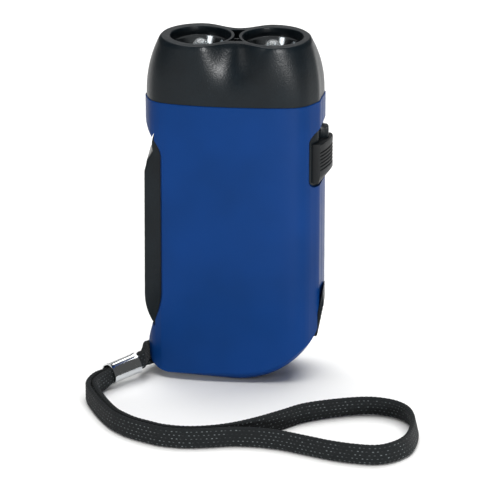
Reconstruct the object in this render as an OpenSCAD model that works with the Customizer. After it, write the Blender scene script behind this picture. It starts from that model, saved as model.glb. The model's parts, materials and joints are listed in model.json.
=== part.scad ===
// Hand-press dynamo torch with two lamps, a squeeze lever, a lever lock and a wrist strap.
// The front faces -Y, the lamps face up, and the origin lies on the flat foot under the casing.

/* [Casing] */
// Width over the sides of the casing
body_w = 52; // [50:0.5:56]
// Depth of the casing, front to back
body_d = 21.7; // [21:0.1:25]
// Height of the seam between the shells and the lamp head
seam_z = 85.5; // [85:0.5:92]
// Wall of the shells
wall = 1.8; // [1.4:0.1:2.2]
// Edge rounding of the shells as seen from the front
edge_in = 4.6; // [3.6:0.1:5.4]
// Edge rounding of the shells along the depth
edge_back = 7.3; // [5:0.1:8.5]
// Radius of the large lower right corner
sole_r = 25; // [22:0.5:27]
// Radius of the small lower left corner
heel_r = 7.3; // [6.5:0.1:8]
// Height of the middle of the small lower left corner
heel_z = 8.2; // [7.6:0.1:9]
// How far the rounded bottom is cut off to stand flat
foot_cut = 0.45; // [0.3:0.05:0.8]

/* [Grip] */
// How far the grip is drawn in on the lever side
grip_in = 5; // [4:0.1:5.6]
// Height where the shoulder above the grip begins
shoulder_top = 82; // [80:0.5:82]
// Height that the shoulder takes
shoulder_run = 15.4; // [12:0.2:17]
// Height where the heel below the grip begins
heel_start = 27; // [25:0.5:30]
// How far the heel stands out again
heel_out = 3.85; // [3:0.05:4.5]

/* [Lamp head] */
// Height of the lamp head above the seam
head_h = 18.7; // [17:0.5:22]
// Distance between the two lamps
lamp_pitch = 21; // [20.6:0.1:22]
// Radius of the lamp wells
lamp_r = 8.8; // [8.2:0.1:9]
// Radius of the lobes round the lamps at the top
lobe_r = 11; // [10.8:0.1:11.6]
// Depth of the waist between the lobes
waist_dip = 4; // [2:0.1:4.5]
// Rounding of the top edge
rim_round = 0.6; // [0.3:0.1:0.9]
// Wall between a lamp well and the valley
ring_wall = 1; // [0.8:0.1:1.2]
// Depth of the valley between the lamps
valley_depth = 3; // [2:0.1:4]
// Height of the lip that sits in the shells
lip_h = 3; // [2:0.1:3]
// Wall of that lip
lip_t = 1.2; // [1:0.1:1.6]
// Clearance round the lip
lip_gap = 0.2; // [0.1:0.05:0.3]

/* [Lamps] */
// Diameter of an LED
led_d = 5; // [4.8:0.1:5.4]
// Height of an LED over its board
led_h = 8.7; // [8:0.1:9.2]
// How far the LED tip lies below the rim
led_drop = 1.5; // [1:0.1:2]
// How far the reflector lies below the rim
reflector_drop = 2.3; // [1.8:0.1:3]
// Wall of the reflectors
reflector_t = 0.9; // [0.7:0.1:1.1]
// Thickness of the LED board
led_board_t = 1.6; // [1.2:0.1:2]

/* [Lever] */
// How far inside the left side the lever pin lies
pivot_in = 9; // [8.6:0.1:9.4]
// How far below the shoulder's start the lever pin lies
pivot_drop = 10; // [9.6:0.1:10.6]
// Radius of the lever pin
pin_r = 1.5; // [1.2:0.1:1.8]
// Opening angle of the lever
lever_swing = 20; // [14:1:20]
// How far the lever stands out past the side
lever_proud = 0.9; // [0.4:0.1:1.6]
// Width of the lever
lever_w = 14; // [13.4:0.1:14.4]
// Skin thickness of the lever
lever_skin = 2; // [1.6:0.1:2.4]
// Flange thickness of the lever
lever_flange = 1.5; // [1.3:0.1:1.8]
// Radius of the lever's round upper end
lever_head_r = 7.4; // [7:0.1:7.6]
// Height of the lever's lower tip
lever_tip_z = 16.3; // [16:0.1:17]
// Clearance between the lever and its slot
lever_gap = 0.35; // [0.25:0.05:0.5]

/* [Gear train] */
// Tooth module of the first stage
module_1 = 0.8; // [0.76:0.01:0.82]
// Tooth module of the second stage
module_2 = 0.5; // [0.46:0.01:0.52]
// Teeth on a full turn of the sector and of the main gear
wheel_teeth = 60; // [60:2:62]
// Teeth on the two pinions
pinion_teeth = 10; // [10:1:10]
// How much each tooth is thinned for backlash
tooth_thin = 0.06; // [0.04:0.01:0.1]
// Width of the first stage's teeth
sector_t = 2.2; // [1.8:0.1:2.4]
// Width of the main gear's teeth
main_t = 2; // [1.6:0.1:2.2]
// Radius of the fixed gear shaft
gear_shaft_r = 1.5; // [1.2:0.1:1.8]
// Radius of the rotor shaft
rotor_shaft_r = 1; // [0.8:0.1:1.2]
// Running clearance on shafts and pins
run_gap = 0.05; // [0.03:0.01:0.08]
// Clearance of pieces that are pushed into a seat
seat_gap = 0.02; // [0.01:0.01:0.04]
// Thickness of the gear frame plate
frame_t = 1.4; // [1:0.1:1.4]

/* [Generator] */
// Radius of the flywheel
flywheel_r = 8.5; // [7:0.1:9]
// Thickness of the flywheel
flywheel_t = 2; // [1.6:0.1:2]
// Radius of the ring magnet
magnet_r = 6; // [5:0.1:6.2]
// Room between the ring magnet and the bush behind it
magnet_room = 0.75; // [0.5:0.05:1]
// How far the ring magnet reaches past the stator's iron at each end
magnet_over = 0.7; // [0.5:0.1:0.9]
// Air gap between magnet and stator
air_gap = 0.5; // [0.3:0.05:0.7]
// Width of the stator's iron
core_w = 2; // [1.6:0.1:2.4]
// Clearance between the stator coil and the frame plate
coil_gap = 0.4; // [0.3:0.05:0.5]

/* [Switch] */
// Height of the middle of the switch knob at rest
switch_z = 67.2; // [66:0.2:68]
// Height of the knob
knob_h = 10.5; // [9:0.5:11]
// How far the knob stands out past the side
knob_proud = 2.3; // [1.6:0.1:3]
// Travel of the knob
switch_travel = 3; // [2:0.1:3.2]
// Width of the knob
knob_w = 9; // [7:0.5:10]
// Grip ribs on the knob
knob_ribs = 5; // [3:1:7]

/* [Lever lock] */
// Length of the lock plate
lock_l = 14.8; // [12:0.2:15]
// Thickness of the lock plate
lock_t = 1.2; // [1:0.1:1.4]
// Width of the lock plate
lock_w = 8; // [7:0.5:9]
// Travel of the lock
lock_travel = 3; // [2.6:0.1:3.2]
// Tilt of the lock plate from upright
lock_tilt = 11; // [9:0.5:13]

/* [Power] */
// Diameter of a button cell
cell_d = 14; // [13:0.5:14]
// Height of a button cell
cell_h = 6.4; // [5.6:0.2:6.6]
// Cells in the pack
cell_count = 3; // [2:1:3]
// Thickness of the control board
board_t = 1.2; // [0.8:0.1:1.6]

/* [Fasteners] */
// Shank radius of the casing screws
screw_r = 0.95; // [0.8:0.05:1.1]
// Head radius of the casing screws
screw_head_r = 1.9; // [1.7:0.1:2]
// Radius of the screw posts in the shells
post_r = 2.6; // [2.5:0.1:2.8]

/* [Strap] */
// Radius of the strap bar
bar_r = 1.5; // [1.2:0.1:1.6]
// Width of the strap webbing
strap_w = 6; // [5:0.2:6.2]
// Thickness of the strap webbing
strap_t = 1.6; // [1.4:0.1:1.9]
// Length of the crimp
crimp_l = 9.4; // [8:0.2:11]
// Sheet thickness of the crimp
crimp_t = 0.5; // [0.3:0.1:0.6]

/* [Hidden] */
$fn = 48;

// Colours as the photo shows them, and plain ones inside
blue = [0.09, 0.27, 0.54];
black = [0.13, 0.14, 0.15];
steel = [0.72, 0.73, 0.75];
brass = [0.78, 0.65, 0.35];
green = [0.1, 0.36, 0.2];
cream = [0.9, 0.87, 0.76];

half_w = body_w / 2;
half_d = body_d / 2;
total_h = seam_z + head_h;
big = 100;

// Casing outline, from the seam down the lever side, round the bottom and up again

function ease(t) = (1 - cos(180 * min(max(t, 0), 1))) / 2;
function left_x(z) = -half_w + grip_in * ease((shoulder_top - z) / shoulder_run)
    - heel_out * ease((heel_start - z) / (heel_start - heel_z));
sole_c = [half_w - sole_r, sole_r - foot_cut];
heel_c = [left_x(heel_z) + heel_r, heel_z];
arc_step = sole_c - heel_c;
// Lean of the line that touches both lower corners
sole_lean = atan2(arc_step.x, arc_step.y) - acos((sole_r - heel_r) / norm(arc_step));
shoulder_steps = 8;
grip_steps = 3;
heel_steps = 7;
corner_steps = 7;
sole_steps = 19;
side_steps = shoulder_steps + grip_steps + heel_steps + corner_steps - sole_steps + 1;
shoulder_end = shoulder_top - shoulder_run;

function outline(top) = concat(
    [[left_x(top), top]],
    [for (i = [0:shoulder_steps]) let (z = shoulder_top - shoulder_run * i / shoulder_steps)
        [left_x(z), z]],
    [for (i = [1:grip_steps - 1]) let (z = shoulder_end - (shoulder_end - heel_start) * i / grip_steps)
        [left_x(z), z]],
    [for (i = [0:heel_steps]) let (z = heel_start - (heel_start - heel_z) * i / heel_steps)
        [left_x(z), z]],
    [for (i = [1:corner_steps]) let (a = 180 + (90 - sole_lean) * i / corner_steps)
        heel_c + heel_r * [cos(a), sin(a)]],
    [for (i = [0:sole_steps]) let (a = 270 - sole_lean + (90 + sole_lean) * i / sole_steps)
        sole_c + sole_r * [cos(a), sin(a)]],
    [for (i = [1:side_steps]) [half_w, sole_c.y + (top - sole_c.y) * i / side_steps]]);

function unit(v) = v / norm(v);
function outward(pts, i) = let (n = len(pts), d = pts[min(i + 1, n - 1)] - pts[max(i - 1, 0)])
    (i == 0 || i == n - 1) ? [sign(pts[i].x), 0] : unit([d.y, -d.x]);

// Front half of the casing's form, drawn in by inset, with the parting face at back_y
module half_form(inset, top, back_y) {
    rounds = 8;
    base = outline(top);
    n = len(base);
    normals = [for (i = [0:n - 1]) outward(base, i)];
    deep = half_d - inset;
    rx = edge_in - inset;
    ry = edge_back - inset;
    levels = concat([[0, back_y]],
        [for (j = [0:rounds]) let (a = 90 * j / rounds)
            [rx * (1 - cos(a)), -(deep - ry + ry * sin(a))]]);
    last = len(levels) - 1;
    points = [for (l = levels) for (i = [0:n - 1])
        let (p = base[i] - (inset + l[0]) * normals[i]) [p.x, l[1], max(p.y, 0)]];
    sides = [for (k = [0:last - 1]) for (i = [0:n - 2]) let (a = k * n + i)
        each [[a, a + n + 1, a + 1], [a, a + n, a + n + 1]]];
    lid = [for (k = [0:last - 1]) let (a = k * n, b = k * n + n - 1)
        each [[a, b, b + n], [a, b + n, a + n]]];
    caps = [for (i = [0:n / 2 - 2]) let (j = n - 1 - i, f = last * n)
        each [[i, i + 1, j - 1], [i, j - 1, j],
            [f + i, f + j, f + j - 1], [f + i, f + j - 1, f + i + 1]]];
    polyhedron(points, concat(sides, lid, caps));
}

// Shapes that repeat

// A rod along the depth
module rod(p, r, y0, y1) {
    translate([p.x, y1, p.y]) rotate([90, 0, 0]) cylinder(r = r, h = y1 - y0);
}
// A flat outline, drawn in X and Z, given a depth
module slab(y0, y1) {
    translate([0, y1, 0]) rotate([90, 0, 0]) linear_extrude(y1 - y0) children();
}
// A block by its lowest and highest corners
module block(a, b) {
    translate(a) cube(b - a);
}
function arc(c, r, a0, a1, n) = [for (i = [0:n]) let (a = a0 + (a1 - a0) * i / n)
    c + r * [cos(a), sin(a)]];

// Gear train places, front view angles

sector_dir = -50;
second_dir = -70;
sector_r = module_1 * wheel_teeth / 2;
pinion_r = module_1 * pinion_teeth / 2;
main_r = module_2 * wheel_teeth / 2;
rotor_r = module_2 * pinion_teeth / 2;
pivot = [-half_w + pivot_in, shoulder_top - pivot_drop];
gear_1 = pivot + (sector_r + pinion_r) * [cos(sector_dir), sin(sector_dir)];
gear_2 = gear_1 + (main_r + rotor_r) * [cos(second_dir), sin(second_dir)];
// The wheels have short teeth, so that the small pinions aren't undercut
wheel_addendum = 0.62;
tooth_clear = 0.35;
pressure = 20;

// Layers along the depth, front to back
lever_half = lever_w / 2;
slot_half = lever_half + lever_gap;
sector_y = -lever_half + lever_flange;
sector_back = sector_y + sector_t;
frame_y = 0;
main_back = frame_y - 0.5;
main_front = main_back - main_t;
pinion_over = 0.2;
flywheel_front = -(half_d - wall - 1);
bush_l = 1.4;
bush_r = 2.2;
bush_end = half_d - 1;
// The magnet fills the room between the frame plate and the rear bush
magnet_y = frame_y + frame_t + 0.9;
magnet_l = bush_end - bush_l - magnet_room - magnet_y;
core_t = magnet_l - 2 * magnet_over;
stator_y = magnet_y + magnet_over;
coil_r = stator_y + core_t / 2 - frame_y - frame_t - coil_gap;
frame_posts = [pivot + [5.5, -6], gear_1 + [-13.5, -12.5], [half_w - 6.5, gear_2.y - 8]];
pin_half = half_d - 1.6;

function involute(a) = tan(a) * 180 / PI - a;
// Half width of a tooth as an angle, at radius r
function tooth_half(teeth, size, r) = let (p = size * teeth / 2, b = p * cos(pressure))
    90 / teeth - tooth_thin / 2 / p * 180 / PI + involute(pressure)
    - (r > b ? involute(acos(b / r)) : 0);
function tooth(teeth, size, tip, root, middle) = let (
        b = size * teeth / 2 * cos(pressure),
        low = max(b, root + 0.01),
        rs = concat([root], [for (i = [0:3]) low + (tip - low) * i / 3]))
    concat(
        [for (i = [0:4]) let (a = middle - tooth_half(teeth, size, max(rs[i], low)))
            rs[i] * [cos(a), sin(a)]],
        [for (i = [4:-1:0]) let (a = middle + tooth_half(teeth, size, max(rs[i], low)))
            rs[i] * [cos(a), sin(a)]]);
function gear(teeth, size, up, down, middle) = [for (k = [0:teeth - 1])
    each tooth(teeth, size, size * (teeth / 2 + up), size * (teeth / 2 - down), middle + 360 * k / teeth)];
module pinion(size, middle) {
    polygon(gear(pinion_teeth, size, 1, wheel_addendum + tooth_clear, middle));
}

// Screw and post places
casing_posts = [[half_w - 8.5, seam_z - 6.5], [pivot.x + 6, seam_z - 6.2],
    [sole_c.x + 8, 6.2], [heel_c.x + 5.6, heel_z + 0.3]];
screw_seat = 6.5;
screw_tip = 5.5;
screw_play = 0.15;
bar_depth = 3.2;
bar_c = heel_c + (heel_r - bar_depth) * [cos(222), sin(222)];
strap_slot = strap_w / 2 + 1;
eye_r = bar_r + strap_t + 1.4;
bar_half = half_d - 2.6;
board_post_r = 2;
capacitor_r = 2;
capacitor_l = 7;
capacitor_room = 0.45;
board_front = half_d - wall - capacitor_room - 2 * capacitor_r - board_t;
board_x = [half_w - 18, half_w - 5.5];
board_z = [gear_1.y - 3.5, gear_1.y + 17];
board_posts = [[board_x[0] + 3, board_z[0] + 3], [board_x[1] - 6, board_z[1] - 3]];
cell_c = [4, seam_z - 9.5];
cell_gap = 0.1;
cell_x0 = cell_c.x - cell_count * cell_h / 2;
cradle_t = 1.2;
cradle_h = 8;

// Switch notch in the right side
notch_x = half_w - 4.4;
notch_low = switch_z - 7.6;
notch_high = switch_z + 13.4;
function notch(gap) = let (x = notch_x + gap, lo = notch_low + gap, hi = notch_high - gap) [
    [half_w + 4, lo], [x + 1.6, lo], [x + 0.6, lo + 0.7], [x + 0.1, lo + 1.9], [x, lo + 3.4],
    [x, hi - 7.6], [x + 0.4, hi - 6.2], [x + 5, hi], [half_w + 4, hi]];
bezel_sink = 0.6;
bezel_gap = 0.1;
bezel_face = half_w - bezel_sink;
stem_half = 1.5;
stem_h = 4;

// Lever lock, drawn flat and then tilted onto the lower right corner
lock_proud = 1.05;
lock_at = sole_c + (sole_r + lock_proud) * [cos(-28), sin(-28)];
lock_floor = -lock_t - 0.1;
lock_shelf = 1.8;
lock_play = 0.3;
neck_half = 2;
neck_from = 3;
neck_to = 9;
module lock_frame() {
    translate([lock_at.x, 0, lock_at.y]) rotate([0, lock_tilt, 0]) children();
}

// Posts, sockets and ribs that both shells carry, in the front shell's place
module shell_posts(front) {
    rod(pivot, pin_r + 1.8, -half_d, -slot_half);
    rod(gear_2, bush_r + 1.2, -half_d, -(bush_end - bush_l));
    rod(bar_c, bar_r + 1.7, -half_d, -strap_slot);
    for (p = casing_posts) rod(p, post_r, -half_d, 0);
    if (front) {
        rod(gear_1, gear_shaft_r + 1.4, -half_d, sector_y - pinion_over - 0.3);
    } else {
        for (p = frame_posts) rod(p, 2.2, -half_d, -(frame_y + frame_t));
        for (p = board_posts) rod(p, board_post_r, -half_d, -(board_front + board_t));
    }
    difference() {
        for (x = [cell_x0 + 2, cell_x0 + cell_count * cell_h - 2 - cradle_t])
            block([x, -half_d, cell_c.y - cradle_h / 2], [x + cradle_t, -0.2, cell_c.y + cradle_h / 2]);
        translate([-big / 2, 0, cell_c.y]) rotate([0, 90, 0]) cylinder(r = cell_d / 2 + cell_gap, h = big);
    }
    lock_frame() block([lock_floor - lock_shelf, -lock_w / 2 - 1.5, -1],
        [0, 1, lock_l + lock_travel + 2]);
}

module shell_cuts(front) {
    // Slot for the lever
    block([-half_w - 5, -slot_half, lever_tip_z - 0.6],
        [left_x(heel_start) + wall + 2.5, slot_half, pivot.y + lever_head_r + lever_gap]);
    slab(-big, big) polygon(notch(0));
    // Recess and slot for the lock
    lock_frame() {
        block([lock_floor, -lock_w / 2 - lock_play, -lock_play],
            [10, lock_w / 2 + lock_play, lock_l + lock_travel + lock_play]);
        block([-10, -neck_half - lock_play, neck_from - lock_play],
            [1, neck_half + lock_play, neck_to + lock_travel + lock_play]);
    }
    // Eye for the strap, and the seats of bar, pin, shafts and screws
    rod(bar_c, eye_r, -strap_slot, strap_slot);
    block([-big, -strap_slot, bar_c.y - eye_r + 0.5], [bar_c.x, strap_slot, bar_c.y + eye_r - 0.5]);
    rod(bar_c, bar_r + seat_gap, -bar_half, 0);
    rod(pivot, pin_r + seat_gap, -pin_half, 0);
    rod(gear_2, bush_r + seat_gap, -bush_end, 0);
    if (front) {
        rod(gear_1, gear_shaft_r + seat_gap, -pin_half, 0);
        for (p = casing_posts) rod(p, screw_r + seat_gap, -screw_tip - 0.5, 1);
    } else {
        for (p = casing_posts) {
            rod(p, screw_r + screw_play, -big, 1);
            rod(p, screw_head_r + screw_play, -big, -screw_seat);
        }
        for (p = frame_posts) rod(p, screw_r + seat_gap, -(frame_y + frame_t + 5), 0);
        for (p = board_posts) rod(p, screw_r + seat_gap, -(board_front + board_t + 3), 0);
    }
}

module half_shell(front) {
    difference() {
        half_form(0, seam_z, 0);
        difference() {
            half_form(wall, seam_z + 1, 1);
            shell_posts(front);
        }
        shell_cuts(front);
    }
}
module front_shell() { color(blue) half_shell(true); }
module rear_shell() { color(blue) mirror([0, 1, 0]) half_shell(false); }

// Lamp head: from the casing's section at the seam to two lobes at the top

lamp_x = lamp_pitch / 2;
board_top = total_h - led_drop - led_h;
head_in = half_w - lamp_x - lobe_r;
function mix(a, b, t) = a + (b - a) * t;
function head_half(s, inset) = let (
        a = half_w - head_in * s * s - inset,
        b = mix(half_d, lobe_r, s) - inset,
        flat = mix(half_w - edge_in, lamp_x, s),
        straight = max(mix(half_d - edge_back, 0, s), 0.05),
        dip = waist_dip * s * s,
        turns = 6,
        spans = 14)
    concat(
        [for (i = [0:turns]) let (t = 90 * i / turns)
            [-flat - (a - flat) * cos(t), -straight - (b - straight) * sin(t)]],
        [for (i = [1:spans - 1]) let (x = flat * (2 * i / spans - 1))
            [x, -b + dip * (1 + cos(180 * x / flat)) / 2]],
        [for (i = [turns:-1:0]) let (t = 90 * i / turns)
            [flat + (a - flat) * cos(t), -straight - (b - straight) * sin(t)]]);

module head_form() {
    steps = 8;
    shapes = concat(
        [for (i = [0:steps]) let (s = (i / steps) * (head_h - rim_round) / head_h) [s * head_h, s, 0]],
        [[head_h - rim_round * 0.3, 1, rim_round * 0.3], [head_h, 1, rim_round]]);
    m = len(head_half(0, 0));
    n = 2 * m;
    points = [for (h = shapes) let (f = head_half(h[1], h[2])) each concat(
        [for (p = f) [p.x, p.y, seam_z + h[0]]],
        [for (i = [m - 1:-1:0]) [f[i].x, -f[i].y, seam_z + h[0]]])];
    last = len(shapes) - 1;
    sides = [for (k = [0:last - 1]) for (i = [0:n - 1]) let (a = k * n + i, b = k * n + (i + 1) % n)
        each [[a, b + n, b], [a, a + n, b + n]]];
    caps = [for (i = [0:m - 2]) let (j = n - 1 - i, f = last * n)
        each [[i, i + 1, j - 1], [i, j - 1, j],
            [f + i, f + j - 1, f + i + 1], [f + i, f + j, f + j - 1]]];
    polyhedron(points, concat(sides, caps));
}

// The casing's section at the seam, drawn in by inset
function seam_section(inset) = let (
        rx = max(edge_in - inset, 0.6),
        ry = max(edge_back - inset, 0.6),
        cx = half_w - inset - rx,
        cy = half_d - inset - ry)
    [for (q = [0:3]) for (i = [0:5]) let (a = 90 * q + 18 * i)
        [(q == 0 || q == 3 ? cx : -cx) + rx * cos(a), (q < 2 ? cy : -cy) + ry * sin(a)]];
lip_inset = wall + lip_gap;
led_screw_x = half_w - lip_inset - lip_t - 1.8;
led_screw_r = 0.8;

module lamp_head() {
    color(black) difference() {
        union() {
            head_form();
            translate([0, 0, seam_z - lip_h]) linear_extrude(lip_h + 1) polygon(seam_section(lip_inset));
        }
        translate([0, 0, seam_z - lip_h - 1]) linear_extrude(board_top - seam_z + lip_h + 1)
            polygon(seam_section(lip_inset + lip_t));
        for (side = [-1, 1]) {
            translate([side * lamp_x, 0, board_top - 1]) cylinder(r = lamp_r, h = big);
            translate([side * led_screw_x, 0, board_top - 1]) cylinder(r = led_screw_r + seat_gap, h = 5);
        }
        difference() {
            valley = lamp_x - lamp_r + 1.3;
            reach = lobe_r - waist_dip - 2;
            block([-valley, -reach, total_h - valley_depth], [valley, reach, total_h + 1]);
            for (side = [-1, 1]) translate([side * lamp_x, 0, 0])
                cylinder(r = lamp_r + ring_wall, h = 2 * big);
            block([-valley, -0.4, 0], [valley, 0.4, total_h - 1]);
        }
    }
}

led_flange_r = led_d / 2 + 0.4;
led_flange_h = 1;
module reflector(side) {
    outer = lamp_r - 0.1;
    top = total_h - reflector_drop;
    hole = led_flange_r + 0.15;
    bowl = [for (i = [0:6]) let (t = i / 6) [mix(hole, outer - 1.2, sqrt(t)), mix(board_top, top, t)]];
    color(steel) translate([side * lamp_x, 0, 0]) rotate_extrude() polygon(concat(bowl,
        [[outer, top], [outer, top - reflector_t]],
        [for (i = [5:-1:0]) [bowl[i].x + reflector_t, max(bowl[i].y - reflector_t * i / 6, board_top)]]));
}
module reflector_left() { reflector(-1); }
module reflector_right() { reflector(1); }

module led(side) {
    r = led_d / 2;
    dome = [for (i = [0:8]) let (a = 90 * i / 8) [r * cos(a), board_top + led_h - r + r * sin(a)]];
    color("white") translate([side * lamp_x, 0, 0]) rotate_extrude() polygon(concat(
        [[0, board_top], [led_flange_r, board_top], [led_flange_r, board_top + led_flange_h],
            [r, board_top + led_flange_h]], dome));
}
module led_left() { led(-1); }
module led_right() { led(1); }

module led_board() {
    half_l = half_w - lip_inset - lip_t - 0.4;
    color(green) difference() {
        block([-half_l, -5, board_top - led_board_t], [half_l, 5, board_top]);
        for (side = [-1, 1]) translate([side * led_screw_x, 0, 0])
            cylinder(r = led_screw_r + screw_play, h = 2 * big);
    }
}
module led_board_screws() {
    color(steel) for (side = [-1, 1]) translate([side * led_screw_x, 0, board_top - led_board_t]) {
        translate([0, 0, -1]) cylinder(r = 1.5, h = 1);
        cylinder(r = led_screw_r, h = led_board_t + 3.5);
    }
}

// Switch

module switch_bezel() {
    deep = half_d - bezel_sink;
    rx = edge_in - bezel_sink;
    ry = edge_back - bezel_sink;
    section = concat([[notch_x - 3, deep]],
        [for (i = [0:8]) let (a = 90 - 90 * i / 8)
            [bezel_face - rx + rx * cos(a), deep - ry + ry * sin(a)]]);
    mirrored = [for (i = [len(section) - 1:-1:0]) [section[i].x, -section[i].y]];
    color(black) difference() {
        intersection() {
            linear_extrude(2 * big) polygon(concat(section, mirrored));
            slab(-big, big) polygon(notch(bezel_gap));
        }
        block([0, -stem_half - lock_play, switch_z - stem_h / 2 - lock_play],
            [big, stem_half + lock_play, switch_z + stem_h / 2 + switch_travel + lock_play]);
    }
}

knob_back = bezel_face + 0.15;
knob_front = half_w + knob_proud;
switch_depth = 4;
switch_half = board_front - 0.2;
actuator_l = 1.4;
module switch_body() {
    x1 = notch_x + bezel_gap - 0.05;
    color(steel) difference() {
        block([x1 - switch_depth, -switch_half, switch_z - 6],
            [x1, switch_half, switch_z + 5.6 + switch_travel]);
        block([x1 - actuator_l - 0.3, -stem_half - lock_play, switch_z - stem_h / 2 - lock_play],
            [big, stem_half + lock_play, switch_z + stem_h / 2 + switch_travel + lock_play]);
    }
}
module switch_slider() {
    low = switch_z - knob_h / 2;
    high = switch_z + knob_h / 2;
    pitch = (knob_h - 2.6) / knob_ribs;
    ribs = [for (i = [0:knob_ribs - 1]) let (z = low + 2 + pitch * i) each [
        [knob_front - 0.6, z], [knob_front, z + pitch * 0.3],
        [knob_front, z + pitch * 0.6], [knob_front - 0.6, z + pitch * 0.9]]];
    color(black) {
        slab(-knob_w / 2, knob_w / 2) polygon(concat(
            [[knob_back, low], [knob_back + 0.7, low]], ribs,
            [[knob_front - 0.8, high], [knob_back, high]]));
        block([notch_x + bezel_gap - actuator_l, -stem_half, switch_z - stem_h / 2],
            [knob_back + 0.2, stem_half, switch_z + stem_h / 2]);
    }
}

// Lever lock: plate outside, neck through the slot, bar and tooth inside

bar_z = [13.5, 15.5];
tooth_x = [pivot.x - 0.2, pivot.x + 1.8];
tab_z = bar_z[1] + 3.7;
tooth_top = tab_z - 1.2;
module lock_slide() {
    serrations = 3;
    bend = lock_l - 4.4;
    top = [for (i = [0:serrations - 1]) let (z = bend - 0.6 - 1.4 * (serrations - 1 - i)) each
        [[0, z - 0.7], [-0.45, z - 0.35], [0, z]]];
    color(black) {
        lock_frame() {
            slab(-lock_w / 2, lock_w / 2) polygon(concat([[-lock_t, 0], [-0.4, 0], [0, 0.4]], top,
                [[0, bend], [-lock_t + 0.2, lock_l], [-lock_t, lock_l]]));
            block([lock_floor - lock_shelf - 1.2, -neck_half, neck_from],
                [-lock_t + 0.2, neck_half, neck_to]);
            block([lock_floor - lock_shelf - 1.2, -neck_half - 1.6, neck_from - 1.5],
                [lock_floor - lock_shelf - 0.1, neck_half + 1.6, neck_to]);
        }
        inner_x = lock_at.x - 4.2;
        slab(-neck_half - 0.5, neck_half + 0.5) polygon([
            [tooth_x[0], bar_z[0]], [inner_x - 2, bar_z[0]], [inner_x + 0.6, bar_z[0] + 2.6],
            [inner_x + 1.6, bar_z[0] + 5.6], [inner_x + 0.4, bar_z[0] + 5.6], [inner_x - 2.4, bar_z[1]],
            [tooth_x[1], bar_z[1]], [tooth_x[1], tooth_top], [tooth_x[0], tooth_top]]);
    }
}

// Squeeze lever

lever_x = -half_w - lever_proud;
ramp_from = 195;
tip = [left_x(lever_tip_z) + 0.3, lever_tip_z];
// Outer face from the round upper end down to the tip, drawn in by inset
function lever_face(inset) = concat(
    arc(pivot, lever_head_r - inset, 100, ramp_from, 10),
    [[lever_x + 0.3 + inset, pivot.y - 7.2], [lever_x + inset, pivot.y - 8.4],
        [lever_x + 0.3 + inset, heel_start]],
    [for (i = [1:6]) let (t = i / 6)
        [mix(lever_x + 0.3, tip.x, t * t) + inset, mix(heel_start, tip.y, t)]]);
ear_r = pin_r + 2.6;
flange_x = pivot.x + 1.5;
tab_half = 4;
tab_t = 3;
module squeeze_lever() {
    color(black) difference() {
        union() {
            difference() {
                slab(-lever_half, lever_half) polygon(concat(lever_face(0),
                    [[tip.x + 3, tip.y + 0.7], [flange_x, tip.y + 6], [flange_x, pivot.y - 8]],
                    arc(pivot, ear_r, -50, 60, 8)));
                slab(sector_y, -sector_y) polygon(concat(lever_face(lever_skin),
                    [[0, tip.y - 1], [0, pivot.y + lever_head_r + 1]]));
            }
            block([tip.x - 1, -tab_half, tab_z], [tooth_x[1] + 2.7, tab_half, tab_z + tab_t]);
        }
        block([tooth_x[0] - 0.4, -neck_half - 0.9, 0],
            [tooth_x[1] + 1, neck_half + 0.9, tab_z + tab_t + 1]);
        rod(pivot, pin_r + run_gap, -big, big);
        for (p = rivets) rod(p, rivet_r + seat_gap, -big, 0);
    }
}

rivets = [pivot + [-1.5, -8], pivot + [-1.5, -12]];
rivet_r = 1;
module sector_gear() {
    pitch = 360 / wheel_teeth;
    first = -2;
    last = ceil(lever_swing / pitch) + 1;
    teeth = [for (k = [first:last]) each tooth(wheel_teeth, module_1,
        module_1 * (wheel_teeth / 2 + wheel_addendum), module_1 * (wheel_teeth / 2 - 1 - tooth_clear),
        sector_dir + pitch * k)];
    color(steel) difference() {
        slab(sector_y, sector_back) polygon(concat([for (p = teeth) pivot + p],
            arc(pivot, ear_r - 0.4, 0, 170, 10),
            [rivets[0] + [-2.4, 0], rivets[1] + [-2.4, -2], rivets[1] + [2, -2.4]]));
        rod(pivot, pin_r + run_gap, -big, big);
        for (p = rivets) rod(p, rivet_r + seat_gap, -big, 0);
    }
}
module sector_rivets() {
    color(steel) for (p = rivets) {
        rod(p, rivet_r, -lever_half, sector_back + 0.2);
        rod(p, rivet_r + 0.7, sector_back, sector_back + 0.7);
    }
}

module lever_pin() { color(steel) rod(pivot, pin_r, -pin_half, pin_half); }

// Return spring: a wound coil on the pin with two straight legs
spring_r = pin_r + 1.2;
wire_r = 0.35;
spring_turns = 4.5;
spring_pitch = 1.2;
function sweep_frame(path, i) = unit(path[min(i + 1, len(path) - 1)] - path[max(i - 1, 0)]);
module lever_spring() {
    start = 160;
    per_turn = 12;
    sides = 6;
    steps = spring_turns * per_turn;
    y0 = sector_back + 0.7 + 2 * wire_r;
    // The legs leave the coil along its tangent
    coil = [for (i = [0:steps]) let (a = start - 360 * i / per_turn)
        [pivot.x + spring_r * cos(a), y0 + spring_pitch * i / per_turn, pivot.y + spring_r * sin(a)]];
    leg_in = [cos(start + 90), 0, sin(start + 90)];
    end = start - 360 * spring_turns;
    leg_out = [cos(end - 90), 0, sin(end - 90)];
    path = concat([coil[0] + 11 * leg_in, coil[0] + 4 * leg_in], coil,
        [coil[steps] + 3 * leg_out, coil[steps] + 7 * leg_out]);
    n = len(path);
    points = [for (i = [0:n - 1])
        let (t = sweep_frame(path, i), u = unit(cross(t, [0, 1, 0])), v = cross(t, u))
        for (k = [0:sides - 1]) let (a = 360 * k / sides)
            path[i] + wire_r * (cos(a) * u + sin(a) * v)];
    color(steel) polyhedron(points, tube_faces(n, sides));
}
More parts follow.
